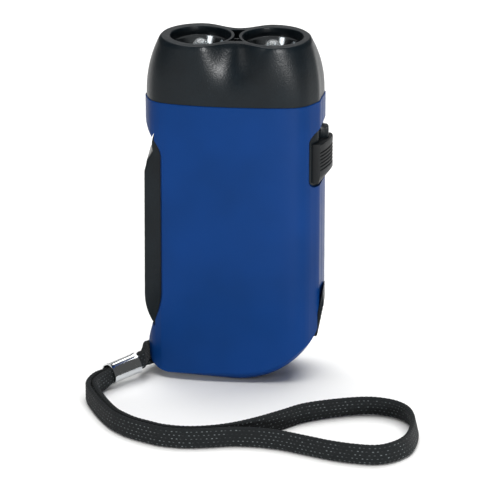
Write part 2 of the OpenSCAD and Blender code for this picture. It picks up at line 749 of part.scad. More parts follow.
// Triangles of a closed tube of rings
function tube_faces(rings, sides) = concat(
    [for (i = [0:rings - 2]) for (k = [0:sides - 1])
        let (a = i * sides + k, b = i * sides + (k + 1) % sides)
        each [[a, b, b + sides], [a, b + sides, a + sides]]],
    [for (k = [1:sides - 2]) each [[0, k + 1, k],
        [(rings - 1) * sides, (rings - 1) * sides + k, (rings - 1) * sides + k + 1]]]);

// Gear train and generator

module drive_pinion() {
    front = sector_y - pinion_over;
    color(brass) difference() {
        union() {
            slab(front, sector_back + pinion_over)
                translate(gear_1) pinion(module_1, sector_dir + 180 + 180 / pinion_teeth);
            rod(gear_1, pinion_r - module_1 * 1.1, front, main_front);
        }
        rod(gear_1, gear_shaft_r + run_gap, -big, big);
    }
}
module main_gear() {
    color(cream) difference() {
        slab(main_front, main_back) translate(gear_1)
            polygon(gear(wheel_teeth, module_2, wheel_addendum, 1 + tooth_clear, second_dir));
        rod(gear_1, gear_shaft_r + run_gap, -big, big);
        for (a = [0:60:300]) rod(gear_1 + main_r * 0.58 * [cos(a), sin(a)], main_r * 0.2, -big, big);
    }
}
module gear_shaft() {
    color(steel) {
        rod(gear_1, gear_shaft_r, -pin_half, frame_y + frame_t);
        rod(gear_1, gear_shaft_r + 0.8, frame_y + frame_t, frame_y + frame_t + 0.6);
    }
}
stator_posts = [[gear_2.x - 13.5, gear_2.y + 7.5], [gear_2.x - 13.5, gear_2.y - 7.5]];
stator_peg_r = 0.7;
module gear_frame() {
    color(steel) difference() {
        union() {
            slab(frame_y, frame_y + frame_t) hull() {
                for (p = frame_posts) translate(p) circle(r = 2.6, $fn = 32);
                for (p = stator_posts) translate(p) circle(r = 2.4, $fn = 32);
                translate(gear_2) circle(r = 9, $fn = 32);
            }
            for (p = stator_posts) {
                rod(p, 1.4, frame_y, stator_y);
                rod(p, stator_peg_r, frame_y, stator_y + core_t - 0.5);
            }
        }
        rod(gear_1, gear_shaft_r + seat_gap, -big, big);
        rod(gear_2, rotor_r + module_2 + 1, -big, big);
        for (p = frame_posts) rod(p, screw_r + screw_play, -big, big);
    }
}
module frame_screws() {
    color(steel) for (p = frame_posts) {
        rod(p, 1.7, frame_y - 1.2, frame_y);
        rod(p, screw_r, frame_y - 1, frame_y + frame_t + 4.5);
    }
}
module rotor_bushes() {
    color(brass) for (side = [-1, 1]) difference() {
        rod(gear_2, bush_r, min(side * bush_end, side * (bush_end - bush_l)),
            max(side * bush_end, side * (bush_end - bush_l)));
        rod(gear_2, rotor_shaft_r + run_gap, -big, big);
    }
}
module rotor_shaft() { color(steel) rod(gear_2, rotor_shaft_r, -bush_end + 0.1, bush_end - 0.1); }
module rotor_pinion() {
    color(brass) difference() {
        slab(main_front - pinion_over, main_back + pinion_over)
            translate(gear_2) pinion(module_2, second_dir + 180 + 180 / pinion_teeth);
        rod(gear_2, rotor_shaft_r + seat_gap, -big, big);
    }
}
module flywheel() {
    color(brass) difference() {
        union() {
            rod(gear_2, flywheel_r, flywheel_front, flywheel_front + flywheel_t);
            rod(gear_2, rotor_shaft_r + 1.2, flywheel_front, flywheel_front + flywheel_t + 0.8);
        }
        rod(gear_2, rotor_shaft_r + seat_gap, -big, big);
    }
}
module ring_magnet() {
    color([0.35, 0.35, 0.37]) difference() {
        rod(gear_2, magnet_r, magnet_y, magnet_y + magnet_l);
        rod(gear_2, rotor_shaft_r + seat_gap, -big, big);
    }
}

core_in = magnet_r + air_gap;
core_out = core_in + core_w;
yoke_half = 1.5;
pole_gap = 3;
module stator_core() {
    x = stator_posts[0].x;
    color([0.5, 0.5, 0.53]) difference() {
        union() {
            rod(gear_2, core_out, stator_y, stator_y + core_t);
            for (side = [-1, 1]) let (z = gear_2.y + side * (core_out - core_w / 2))
                block([x - yoke_half, stator_y, z - core_w / 2],
                    [gear_2.x, stator_y + core_t, z + core_w / 2]);
            block([x - yoke_half, stator_y, gear_2.y - core_out],
                [x + yoke_half, stator_y + core_t, gear_2.y + core_out]);
        }
        rod(gear_2, core_in, -big, big);
        // Gaps between the two poles
        block([gear_2.x - core_out - 1, 0, gear_2.y - pole_gap / 2],
            [gear_2.x - core_in + 1.5, big, gear_2.y + pole_gap / 2]);
        block([gear_2.x + core_in - 1.5, 0, gear_2.y - pole_gap / 2],
            [gear_2.x + core_out + 1, big, gear_2.y + pole_gap / 2]);
        for (p = stator_posts) rod(p, stator_peg_r + seat_gap, 0, stator_y + core_t - 0.4);
    }
}
bobbin_half = core_out - core_w - 0.6;
bobbin_t = 0.6;
bobbin_neck = norm([core_t / 2, yoke_half]) + 0.1;
module coil_bobbin() {
    color(cream) difference() {
        translate([stator_posts[0].x, stator_y + core_t / 2, gear_2.y]) {
            for (side = [-1, 1]) translate([0, 0, side * (bobbin_half - bobbin_t / 2)])
                cylinder(r = coil_r, h = bobbin_t, center = true);
            cylinder(r = bobbin_neck, h = 2 * bobbin_half - 1, center = true);
        }
        translate([stator_posts[0].x - yoke_half - 0.05, stator_y - 0.05, 0])
            cube([2 * yoke_half + 0.1, core_t + 0.1, big]);
    }
}
module stator_coil() {
    l = 2 * (bobbin_half - bobbin_t) - 0.1;
    color([0.72, 0.4, 0.2]) translate([stator_posts[0].x, stator_y + core_t / 2, gear_2.y]) difference() {
        cylinder(r = coil_r - 0.1, h = l, center = true);
        cylinder(r = bobbin_neck + 0.05, h = l + 1, center = true);
    }
}

// Electronics and cells

module control_board() {
    color(green) difference() {
        block([board_x[0], board_front, board_z[0]], [board_x[1], board_front + board_t, board_z[1]]);
        for (p = board_posts) rod(p, screw_r + screw_play, 0, big);
    }
}
module board_screws() {
    color(steel) for (p = board_posts) {
        rod(p, 1.6, board_front - 1, board_front);
        rod(p, screw_r, board_front - 0.5, board_front + board_t + 2.5);
    }
}
board_mid = (board_x[0] + board_x[1]) / 2;
module rectifier_diodes() {
    r = 0.8;
    pitch = 2.4;
    color(black) for (i = [0:3])
        translate([board_mid + pitch * (i - 1.5), board_front + board_t + r, board_z[0] + 7])
            cylinder(r = r, h = 3.6);
}
module smoothing_capacitor() {
    color(black) translate([board_mid - 4, board_front + board_t + capacitor_r, board_z[0] + 12])
        cylinder(r = capacitor_r, h = capacitor_l);
}
module button_cells() {
    color(steel) for (i = [0:cell_count - 1])
        translate([cell_x0 + i * cell_h, 0, cell_c.y]) rotate([0, 90, 0]) {
            cylinder(r = cell_d / 2, h = cell_h - 1);
            cylinder(r = cell_d / 2 - 1.6, h = cell_h - 0.05);
        }
}
module casing_screws() {
    color(steel) for (p = casing_posts) {
        rod(p, screw_head_r, screw_seat, screw_seat + 1.5);
        rod(p, screw_r, -screw_tip, screw_seat + 0.5);
    }
}

// Wrist strap: one band from the crimp, round the bar, back through the crimp and round the loop

module strap_bar() { color(steel) rod(bar_c, bar_r, -bar_half, bar_half); }

// Route of the band's middle: X, Y, Z, how far its width has turned from Y to upright, its lean to the left
strap_route = [
    [-30.7, -13.1, 5.2, 0.6, 0], [-27.6, -10.1, 5.6, 0.6, 0], [-26.9, -6.9, 6.1, 0.6, 0],
    [-26.2, -3.8, 6.9, 0.5, 0], [-24.6, -1.2, 7.7, 0.15, 0], [-22.4, 0, 8.2, 0, 0],
    [-20.6, 0, 8.2, 0, 0], [-18.7, 0, 7.4, 0, 0], [-17.9, 0, 5.5, 0, 0], [-18.7, 0, 3.6, 0, 0],
    [-20.6, 0, 2.8, 0, 0], [-22.8, 0, 2.8, 0, 0], [-25.2, -0.7, 3.2, 0.15, 0],
    [-27.4, -3.4, 3.9, 0.5, 0], [-28.6, -6.4, 4.5, 0.6, 0], [-28.95, -9, 4.75, 0.6, 0],
    [-32.2, -12.3, 4.3, 0.6, 0], [-35.6, -15.5, 3.8, 0.7, 0], [-38.4, -18.8, 3.3, 0.9, 0],
    [-40.6, -22.6, 3.1, 1, 0], [-41.5, -27.2, 3.1, 1, 0], [-40.9, -31.2, 3.1, 1, 0],
    [-39.2, -36, 3.1, 1, 0], [-36.2, -43, 3.1, 1, 0], [-32.8, -49.4, 3.1, 1, 0],
    [-29.6, -53.3, 3.1, 1, 0], [-26.4, -56.2, 3.1, 1, 0], [-21.9, -59, 3.1, 1, 0],
    [-17, -61.3, 3.1, 1, 0], [-10.4, -62.3, 3.1, 1, 0], [-3.6, -61.4, 3.1, 1, 0], [3.1, -60, 3.1, 1, 0],
    [10, -60.1, 3.1, 1, 0], [17.2, -61.7, 3.1, 1, 0], [24.3, -64.8, 3.1, 1, 0], [31.3, -67.9, 3.1, 1, 0],
    [38, -69.8, 3.1, 1, 0], [44.5, -70.3, 3.1, 1, 0.05], [49.3, -67.8, 3.15, 1, 0.15],
    [53, -62.6, 3.15, 1, 0.22], [54.5, -55.4, 3.15, 1, 0.22], [54.5, -48, 3.15, 1, 0.22],
    [52.8, -41, 3.15, 1.1, 0.2], [49, -36.4, 3.15, 1.2, 0.15], [43.4, -34.2, 3.15, 1.3, 0.05],
    [38, -34.4, 3.15, 1.3, 0], [30.6, -36.8, 3.15, 1.2, 0], [22.4, -40.8, 3.15, 1.1, 0],
    [15.9, -46.7, 3.1, 1, 0], [9.3, -52.4, 3.1, 1, 0], [2.8, -56.8, 3.1, 1, 0], [-3.6, -59.4, 3.1, 1, 0],
    [-10.4, -60.4, 3.1, 1, 0], [-16.6, -59.4, 3.1, 1, 0], [-21, -57.2, 3.1, 1, 0],
    [-25.2, -54.7, 3.1, 1, 0], [-28.2, -51.9, 3.1, 1, 0], [-31.3, -48.3, 3.1, 1, 0],
    [-34.5, -42.2, 3.1, 1, 0], [-37.4, -35.3, 3.1, 1, 0], [-39.1, -30.4, 3.1, 1, 0],
    [-39.7, -26.9, 3.1, 1, 0], [-39, -23.6, 3.1, 1, 0], [-37, -20, 3.5, 0.9, 0],
    [-34.6, -16.8, 4.5, 0.7, 0], [-31.6, -14, 5.05, 0.6, 0]];

function place(row) = [row[0], row[1], row[2]];
function turn(row) = [-row[4], 1 - row[3], row[3]];
module strap_band() {
    soft = strap_t * 0.3;
    a = strap_w / 2;
    b = strap_t / 2;
    section = [[a, b - soft], [a - soft, b], [soft - a, b], [-a, b - soft],
        [-a, soft - b], [soft - a, -b], [a - soft, -b], [a, soft - b]];
    path = [for (row = strap_route) place(row)];
    points = [for (i = [0:len(path) - 1])
        let (t = sweep_frame(path, i), w = turn(strap_route[i]), u = unit(w - (w * t) * t), v = cross(t, u))
        for (s = section) path[i] + s.x * u + s.y * v];
    color(black) polyhedron(points, tube_faces(len(path), len(section)));
}

crimp_c = [-31.7, -12.9, 4.7];
crimp_dir = unit([-6.8, -6.4, -1]);
crimp_play = 0.5;
module crimp_section(grow) {
    a = strap_w / 2 + crimp_play + grow;
    b = strap_t + 0.3 + crimp_play + grow;
    r = 1.2 + grow;
    polygon(concat(arc([a - r, b - r], r, 0, 90, 5), arc([r - a, b - r], r, 90, 180, 5),
        arc([r - a, r - b], r, 180, 270, 5), arc([a - r, r - b], r, 270, 360, 5)));
}
module strap_crimp() {
    w = [0, 0.4, 0.6];
    u = unit(w - (w * crimp_dir) * crimp_dir);
    v = cross(crimp_dir, u);
    color("silver") multmatrix([[u.x, v.x, crimp_dir.x, crimp_c.x], [u.y, v.y, crimp_dir.y, crimp_c.y],
        [u.z, v.z, crimp_dir.z, crimp_c.z], [0, 0, 0, 1]])
        translate([0, 0, -crimp_l / 2]) difference() {
            linear_extrude(crimp_l) crimp_section(crimp_t);
            translate([0, 0, -1]) linear_extrude(crimp_l + 2) crimp_section(0);
        }
}

front_shell();
rear_shell();
lamp_head();
reflector_left();
reflector_right();
led_left();
led_right();
led_board();
led_board_screws();
switch_bezel();
switch_body();
gear_frame();
frame_screws();
gear_shaft();
lever_pin();
lever_spring();
rotor_bushes();
stator_core();
coil_bobbin();
stator_coil();
control_board();
board_screws();
rectifier_diodes();
smoothing_capacitor();
button_cells();
casing_screws();
strap_bar();
strap_band();
strap_crimp();
squeeze_lever();
sector_gear();
sector_rivets();
drive_pinion();
main_gear();
rotor_shaft();
rotor_pinion();
flywheel();
ring_magnet();
switch_slider();
lock_slide();
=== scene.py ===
import json
import math

import bpy
from mathutils import Matrix, Vector


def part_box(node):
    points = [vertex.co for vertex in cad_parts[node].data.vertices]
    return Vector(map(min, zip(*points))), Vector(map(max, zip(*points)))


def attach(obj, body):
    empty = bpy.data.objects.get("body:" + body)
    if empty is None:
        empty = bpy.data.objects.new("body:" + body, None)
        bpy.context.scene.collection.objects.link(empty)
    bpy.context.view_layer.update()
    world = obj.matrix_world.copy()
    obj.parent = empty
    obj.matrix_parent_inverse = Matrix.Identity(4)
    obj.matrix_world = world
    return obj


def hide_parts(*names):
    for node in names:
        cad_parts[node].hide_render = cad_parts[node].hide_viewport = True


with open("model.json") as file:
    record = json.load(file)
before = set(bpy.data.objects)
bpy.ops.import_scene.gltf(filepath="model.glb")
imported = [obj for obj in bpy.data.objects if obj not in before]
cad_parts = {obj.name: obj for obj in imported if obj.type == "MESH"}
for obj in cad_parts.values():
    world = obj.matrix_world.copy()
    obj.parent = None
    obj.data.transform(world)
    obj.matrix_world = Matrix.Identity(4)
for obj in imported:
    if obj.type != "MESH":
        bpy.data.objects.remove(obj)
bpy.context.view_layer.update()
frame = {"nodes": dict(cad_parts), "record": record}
mm = 0.001


# camera, at the photograph's viewing angle

cameraSet = {
    "azimuth": 4.19,  # degrees to the right of the front
    "elevation": 20.08,  # degrees above the floor
    "distance": 1256,  # mm from the aim point
    "lens": 319.5,  # mm, on the sensor below
    "sensor": 36,
    "aim": (0.94, 0, 40.73),  # mm, the point in the middle of the picture
}


def placeCamera(s):
    turn = math.radians(s["azimuth"])
    rise = math.radians(s["elevation"])
    back = Vector((math.sin(turn) * math.cos(rise), -math.cos(turn) * math.cos(rise), math.sin(rise)))
    bpy.ops.object.camera_add(location=(Vector(s["aim"]) + back * s["distance"]) * mm)
    cam = bpy.context.object
    cam.rotation_mode = "QUATERNION"
    cam.rotation_quaternion = (-back).to_track_quat("-Z", "Y")
    cam.data.sensor_width = s["sensor"]
    cam.data.lens = s["lens"]
    cam.data.clip_start = 0.05
    cam.data.clip_end = 20
    bpy.context.scene.camera = cam


placeCamera(cameraSet)
print("camera placed")


# small helpers for materials

def linear(hexColour):
    channels = [int(hexColour[i:i + 2], 16) / 255 for i in (1, 3, 5)]
    return [c / 12.92 if c <= 0.04045 else ((c + 0.055) / 1.055) ** 2.4 for c in channels] + [1]


def perMetre(size):
    return 1 / (size * mm)  # texture scale from a real size in mm


def addNode(tree, kind, inputs, into=None, **settings):
    # inputs are sockets or plain values, and into is the socket that the first output feeds
    node = tree.nodes.new(kind)
    for key, value in settings.items():
        setattr(node, key, value)
    for key, value in inputs.items():
        if isinstance(value, bpy.types.NodeSocket):
            tree.links.new(value, node.inputs[key])
        else:
            node.inputs[key].default_value = value
    if into is not None:
        tree.links.new(node.outputs[0], into)
    return node


def newMaterial(name, colour, roughness, metallic=0.0, ior=1.5, specular=0.5):
    material = bpy.data.materials.new(name)
    material.use_nodes = True
    material.diffuse_color = linear(colour)
    shader = material.node_tree.nodes["Principled BSDF"]
    shader.inputs["Base Color"].default_value = linear(colour)
    shader.inputs["Roughness"].default_value = roughness
    shader.inputs["Metallic"].default_value = metallic
    shader.inputs["IOR"].default_value = ior
    shader.inputs["Specular IOR Level"].default_value = specular
    return material, material.node_tree, shader


# materials of what shows outside

def satinAbs():
    # ABS moulded in a finely polished tool: deep blue, soft broad reflections, a trace of flow mottling
    material, tree, shader = newMaterial("satinAbsBlue", "#082F66", 0.36, specular=0.07)
    place = addNode(tree, "ShaderNodeTexCoord", {}).outputs["Object"]
    flow = addNode(tree, "ShaderNodeTexNoise", {"Vector": place, "Scale": perMetre(22), "Detail": 2})
    tone = addNode(tree, "ShaderNodeValToRGB", {"Fac": flow.outputs["Fac"]}, shader.inputs["Base Color"])
    tone.color_ramp.elements[0].position = 0.3
    tone.color_ramp.elements[0].color = linear("#072D60")
    tone.color_ramp.elements[1].position = 0.7
    tone.color_ramp.elements[1].color = linear("#09326B")
    haze = addNode(tree, "ShaderNodeTexNoise", {"Vector": place, "Scale": perMetre(3), "Detail": 4})
    addNode(tree, "ShaderNodeMapRange", {"Value": haze.outputs["Fac"], "To Min": 0.32, "To Max": 0.4},
            shader.inputs["Roughness"])
    # tool marks of about 0.1 mm, drawn at 0.5 mm so that they show
    peel = addNode(tree, "ShaderNodeTexNoise", {"Vector": place, "Scale": perMetre(0.5), "Detail": 1})
    addNode(tree, "ShaderNodeBump",
            {"Height": peel.outputs["Fac"], "Strength": 0.04, "Distance": 0.05 * mm},
            shader.inputs["Normal"])
    return material


def grainedAbs(name, colour, paler, roughness, grain, depth):
    # ABS moulded in a spark eroded tool: charcoal black with a pebbled grain that breaks up the highlights
    material, tree, shader = newMaterial(name, colour, roughness, ior=1.28)
    place = addNode(tree, "ShaderNodeTexCoord", {}).outputs["Object"]
    cloud = addNode(tree, "ShaderNodeTexNoise", {"Vector": place, "Scale": perMetre(9), "Detail": 3})
    tone = addNode(tree, "ShaderNodeValToRGB", {"Fac": cloud.outputs["Fac"]}, shader.inputs["Base Color"])
    tone.color_ramp.elements[0].position = 0.3
    tone.color_ramp.elements[0].color = linear(colour)
    tone.color_ramp.elements[1].position = 0.75
    tone.color_ramp.elements[1].color = linear(paler)
    pebbles = addNode(tree, "ShaderNodeTexVoronoi", {"Vector": place, "Scale": perMetre(grain)},
                      feature="SMOOTH_F1")
    dust = addNode(tree, "ShaderNodeTexNoise", {"Vector": place, "Scale": perMetre(grain * 2), "Detail": 3})
    both = addNode(tree, "ShaderNodeMath", {0: pebbles.outputs["Distance"], 1: dust.outputs["Fac"]},
                   operation="ADD")
    addNode(tree, "ShaderNodeBump",
            {"Height": both.outputs["Value"], "Strength": 0.5, "Distance": depth * mm},
            shader.inputs["Normal"])
    addNode(tree, "ShaderNodeMapRange",
            {"Value": dust.outputs["Fac"], "To Min": roughness - 0.06, "To Max": roughness + 0.08},
            shader.inputs["Roughness"])
    return material


def metallisedAbs():
    # ABS with a vacuum coated aluminium film: a mirror with a slight ripple from the moulding
    material, tree, shader = newMaterial("metallisedAbs", "#9DA2A5", 0.16, 1)
    place = addNode(tree, "ShaderNodeTexCoord", {}).outputs["Object"]
    ripple = addNode(tree, "ShaderNodeTexNoise", {"Vector": place, "Scale": perMetre(1.6), "Detail": 2})
    addNode(tree, "ShaderNodeBump",
            {"Height": ripple.outputs["Fac"], "Strength": 0.15, "Distance": 0.05 * mm},
            shader.inputs["Normal"])
    addNode(tree, "ShaderNodeMapRange", {"Value": ripple.outputs["Fac"], "To Min": 0.1, "To Max": 0.24},
            shader.inputs["Roughness"])
    return material


def clearEpoxy():
    # cast epoxy: water clear with a glassy skin and faint casting streaks
    material, tree, shader = newMaterial("clearEpoxy", "#F4F7F8", 0.03, 0, 1.53)
    shader.inputs["Transmission Weight"].default_value = 0.85
    place = addNode(tree, "ShaderNodeTexCoord", {}).outputs["Object"]
    streak = addNode(tree, "ShaderNodeTexNoise", {"Vector": place, "Scale": perMetre(1.2), "Detail": 1})
    addNode(tree, "ShaderNodeMapRange", {"Value": streak.outputs["Fac"], "To Min": 0.01, "To Max": 0.06},
            shader.inputs["Roughness"])
    return material


def platedMetal(name, colour, roughness, lines, depth):
    # plated or drawn metal: bright, with fine lines left along the grain by the tool
    material, tree, shader = newMaterial(name, colour, roughness, 1)
    place = addNode(tree, "ShaderNodeTexCoord", {}).outputs["Object"]
    stretch = addNode(tree, "ShaderNodeMapping", {"Vector": place, "Scale": (1, 1, 0.08)})
    drawn = addNode(tree, "ShaderNodeTexNoise",
                    {"Vector": stretch.outputs["Vector"], "Scale": perMetre(lines), "Detail": 3})
    addNode(tree, "ShaderNodeMapRange",
            {"Value": drawn.outputs["Fac"], "To Min": roughness * 0.7, "To Max": roughness * 1.4},
            shader.inputs["Roughness"])
    addNode(tree, "ShaderNodeBump",
            {"Height": drawn.outputs["Fac"], "Strength": 0.2, "Distance": depth * mm},
            shader.inputs["Normal"])
    return material


weave = {
    "pitch": 1.4,  # mm from one pale fleck to the next along a row
    "row": 1.1,  # mm between rows
    "fleckLong": 0.46,  # share of the pitch
    "fleckWide": 0.3,  # share of the row; the real thread is finer, but has to show
    "jitter": 0.4,  # share of the pitch that a fleck may lie off its place
    "crisp": 8,  # how quickly a fleck starts and ends
    "soft": 0.1,  # rounding of that change
    "uneven": 1.1,  # how unlike each other the flecks are in paleness
    "raised": 1.5,  # how far a fleck stands up, against the yarn
    "thread": 0.55,  # mm between the braid's slanted threads
}


def braidedPolyester(s):
    # flat braided polyester: black yarn on the slant, painted darker in its hollows and paler on its raised
    # threads as painted shade, with rows of pale grey flecks where the core shows
    material, tree, shader = newMaterial("braidedPolyester", "#0E1112", 0.82, specular=0.2)
    shader.inputs["Sheen Weight"].default_value = 0.04
    shader.inputs["Sheen Roughness"].default_value = 0.4
    lay = addNode(tree, "ShaderNodeAttribute", {}, attribute_name="lay")
    axis = addNode(tree, "ShaderNodeSeparateXYZ", {"Vector": lay.outputs["Vector"]})
    turn = math.tau / s["thread"]
    sums = [  # a name, what is done, and what with
        ("rows", "DIVIDE", "across", s["row"]),
        ("row", "ROUND", "rows"),
        ("pastRow", "SUBTRACT", "rows", "row"),
        ("offRow", "ABSOLUTE", "pastRow"),
        ("rowCount", "ABSOLUTE", "row"),
        ("odd", "MODULO", "rowCount", 2),
        ("shift", "MULTIPLY", "odd", 0.5),  # every other row lies half a pitch on
        ("pitches", "DIVIDE", "along", s["pitch"]),
        ("step", "ADD", "pitches", "shift"),
        ("cell", "FLOOR", "step"),
        ("chance", "random", "cell", "row"),
        ("middle", "MULTIPLY_ADD", "chance", s["jitter"], 0.5 - s["jitter"] / 2),
        ("inCell", "SUBTRACT", "step", "cell"),
        ("pastMiddle", "SUBTRACT", "inCell", "middle"),
        ("offMiddle", "ABSOLUTE", "pastMiddle"),
        ("toEnd", "SUBTRACT", s["fleckLong"] / 2, "offMiddle"),
        ("endFade", "MULTIPLY", "toEnd", s["crisp"]),
        ("inLong", "SMOOTH_MAX", "endFade", 0, s["soft"]),
        ("toSide", "SUBTRACT", s["fleckWide"] / 2, "offRow"),
        ("sideFade", "MULTIPLY", "toSide", s["crisp"]),
        ("inWide", "SMOOTH_MAX", "sideFade", 0, s["soft"]),
        ("inBoth", "MULTIPLY", "inLong", "inWide"),
        ("fleck", "MINIMUM", "inBoth", 1),
        ("paleness", "POWER", "chance", s["uneven"]),
        ("shown", "MULTIPLY", "fleck", "paleness"),
        ("leftSlant", "ADD", "along", "across"),
        ("rightSlant", "SUBTRACT", "along", "across"),
        ("leftTurn", "MULTIPLY", "leftSlant", turn),
        ("rightTurn", "MULTIPLY", "rightSlant", turn),
        ("leftYarn", "SINE", "leftTurn"),
        ("rightYarn", "SINE", "rightTurn"),
        ("yarn", "MULTIPLY", "leftYarn", "rightYarn"),
        # painted shade: the yarn's tone follows its relief, dark in the hollows and paler on the threads
        ("tone", "MULTIPLY_ADD", "yarn", 0.5, 0.5),
        ("raised", "MULTIPLY", "fleck", s["raised"]),
        ("relief", "ADD", "yarn", "raised"),
    ]
    value = {"along": axis.outputs["X"], "across": axis.outputs["Y"]}
    for name, work, *terms in sums:
        terms = [value.get(term, term) for term in terms]
        if work == "random":
            spot = addNode(tree, "ShaderNodeCombineXYZ", dict(zip("XY", terms)))
            node = addNode(tree, "ShaderNodeTexWhiteNoise", {"Vector": spot.outputs["Vector"]},
                           noise_dimensions="3D")
        else:
            node = addNode(tree, "ShaderNodeMath", dict(enumerate(terms)), operation=work)
        value[name] = node.outputs["Value"]
    # painted shade of the weave: near black in the hollows, a paler black on the raised threads
    paintedWeaveShade = addNode(tree, "ShaderNodeValToRGB", {"Fac": value["tone"]})
    paintedWeaveShade.color_ramp.elements[0].color = linear("#0A0C0D")
    paintedWeaveShade.color_ramp.elements[1].color = linear("#1B1F21")
    colour = addNode(tree, "ShaderNodeMix",
                     {"Factor": value["shown"], "A": paintedWeaveShade.outputs["Color"], "B": linear("#6C7375")},
                     data_type="RGBA")
    tree.links.new(colour.outputs[2], shader.inputs["Base Color"])  # the third output is the colour
    addNode(tree, "ShaderNodeBump", {"Height": value["relief"], "Strength": 0.7, "Distance": 0.08 * mm},
            shader.inputs["Normal"])
    return material


bluePlastic = satinAbs()
blackPlastic = grainedAbs("grainedAbsBlack", "#080E12", "#0D151A", 0.32, 0.45, 0.05)
knobPlastic = grainedAbs("grainedAbsKnob", "#070A0C", "#0A0F12", 0.44, 0.6, 0.03)
mirrorFilm = metallisedAbs()
lampEpoxy = clearEpoxy()
chromePlate = platedMetal("nickelPlatedBrass", "#D9DBDC", 0.12, 0.4, 0.01)
webbing = braidedPolyester(weave)
print("outer materials made")


# wrist strap, made first

strap = {
    "wide": 6,  # mm
    "thick": 1.6,
    "squeezed": 4.6,  # mm wide inside the crimp
    "opensAt": 4.5,  # mm from the crimp's middle to where the loop starts to widen
    "opensOver": 6,  # mm that it takes to be full again
    "ringStep": 0.45,  # mm between rings along the band
    "ridge": 0.05,  # mm that each row of yarn stands up
    "scallop": 0.06,  # mm that the edge loops stand out
    "leaves": (-20.6, 0, 5.46),  # where it comes off the strap bar
    # X, Y, Z in mm along the middle, the width's turn from Y to upright, and its lean towards -X
    "route": [
        (-30.7, -13.1, 5.2, 0.6, 0), (-27.6, -10.1, 5.6, 0.6, 0), (-26.9, -6.9, 6.1, 0.6, 0),
        (-26.2, -3.8, 6.9, 0.5, 0), (-24.6, -1.2, 7.7, 0.15, 0), (-22.4, 0, 8.2, 0, 0),
        (-20.6, 0, 8.2, 0, 0), (-18.7, 0, 7.4, 0, 0), (-17.9, 0, 5.5, 0, 0), (-18.7, 0, 3.6, 0, 0),
        (-20.6, 0, 2.8, 0, 0), (-22.8, 0, 2.8, 0, 0), (-25.2, -0.7, 3.2, 0.15, 0),
        (-27.4, -3.4, 3.9, 0.5, 0), (-28.6, -6.4, 4.5, 0.6, 0), (-28.95, -9, 4.75, 0.6, 0),
        (-32.2, -12.3, 4.3, 0.6, 0), (-35.6, -15.5, 3.8, 0.7, 0), (-38.4, -18.8, 3.3, 0.9, 0),
        (-40.6, -22.6, 3.1, 1, 0), (-41.5, -27.2, 3.1, 1, 0), (-40.9, -31.2, 3.1, 1, 0),
        (-39.2, -36, 3.1, 1, 0), (-36.2, -43, 3.1, 1, 0), (-32.8, -49.4, 3.1, 1, 0),
        (-29.6, -53.3, 3.1, 1, 0), (-26.4, -56.2, 3.1, 1, 0), (-21.9, -59, 3.1, 1, 0),
        (-17, -61.3, 3.1, 1, 0), (-10.4, -62.3, 3.1, 1, 0), (-3.6, -61.4, 3.1, 1, 0),
        (3.1, -60, 3.1, 1, 0), (10, -60.1, 3.1, 1, 0), (17.2, -61.7, 3.1, 1, 0),
        (24.3, -64.8, 3.1, 1, 0), (31.3, -67.9, 3.1, 1, 0), (38, -69.8, 3.1, 1, 0),
        (44.5, -70.3, 3.1, 1, 0.05), (49.3, -67.8, 3.15, 1, 0.15), (53, -62.6, 3.15, 1, 0.22),
        (54.5, -55.4, 3.15, 1, 0.22), (54.5, -48, 3.15, 1, 0.22), (52.8, -41, 3.15, 1.1, 0.2),
        (49, -36.4, 3.15, 1.2, 0.15), (43.4, -34.2, 3.15, 1.3, 0.05), (38, -34.4, 3.15, 1.3, 0),
        (30.6, -36.8, 3.15, 1.2, 0), (22.4, -40.8, 3.15, 1.1, 0), (15.9, -46.7, 3.1, 1, 0),
        (9.3, -52.4, 3.1, 1, 0), (2.8, -56.8, 3.1, 1, 0), (-3.6, -59.4, 3.1, 1, 0),
        (-10.4, -60.4, 3.1, 1, 0), (-16.6, -59.4, 3.1, 1, 0), (-21, -57.2, 3.1, 1, 0),
        (-25.2, -54.7, 3.1, 1, 0), (-28.2, -51.9, 3.1, 1, 0), (-31.3, -48.3, 3.1, 1, 0),
        (-34.5, -42.2, 3.1, 1, 0), (-37.4, -35.3, 3.1, 1, 0), (-39.1, -30.4, 3.1, 1, 0),
        (-39.7, -26.9, 3.1, 1, 0), (-39, -23.6, 3.1, 1, 0), (-37, -20, 3.5, 0.9, 0),
        (-34.6, -16.8, 4.5, 0.7, 0), (-31.6, -14, 5.05, 0.6, 0)],
}
crimpAt = Vector((-32.85, -14, 4.5))  # mm, middle of the crimp


def smoothRoute(rows, step):
    points = [Vector(row) for row in rows]
    path = []
    for i in range(len(points) - 1):
        before, start = points[max(i - 1, 0)], points[i]
        end, after = points[i + 1], points[min(i + 2, len(points) - 1)]
        count = max(2, round((end - start).length / step))
        for k in range(count):
            t = k / count
            a = (end - before) / 2
            b = (after - start) / 2
            path.append(start + a * t + (3 * (end - start) - 2 * a - b) * t ** 2
                        + (2 * (start - end) + a + b) * t ** 3)
    return path + [points[-1]]


def bandSection(s):
    # half round edges and two flats with a low ridge over each row of yarn
    edge = s["thick"] / 2
    flat = s["wide"] / 2 - edge
    flats = 14
    ends = 6
    ridge = [-flat + 2 * flat * i / flats for i in range(flats + 1)]
    bulge = [edge - s["ridge"] * (1 - math.cos(math.tau * x / weave["row"])) / 2 for x in ridge]
    turns = [math.pi * i / ends for i in range(1, ends)]
    top = list(zip(ridge, bulge))
    right = [(flat + edge * math.sin(a), edge * math.cos(a)) for a in turns]
    return top + right + [(-x, -y) for x, y in top] + [(-x, -y) for x, y in right]


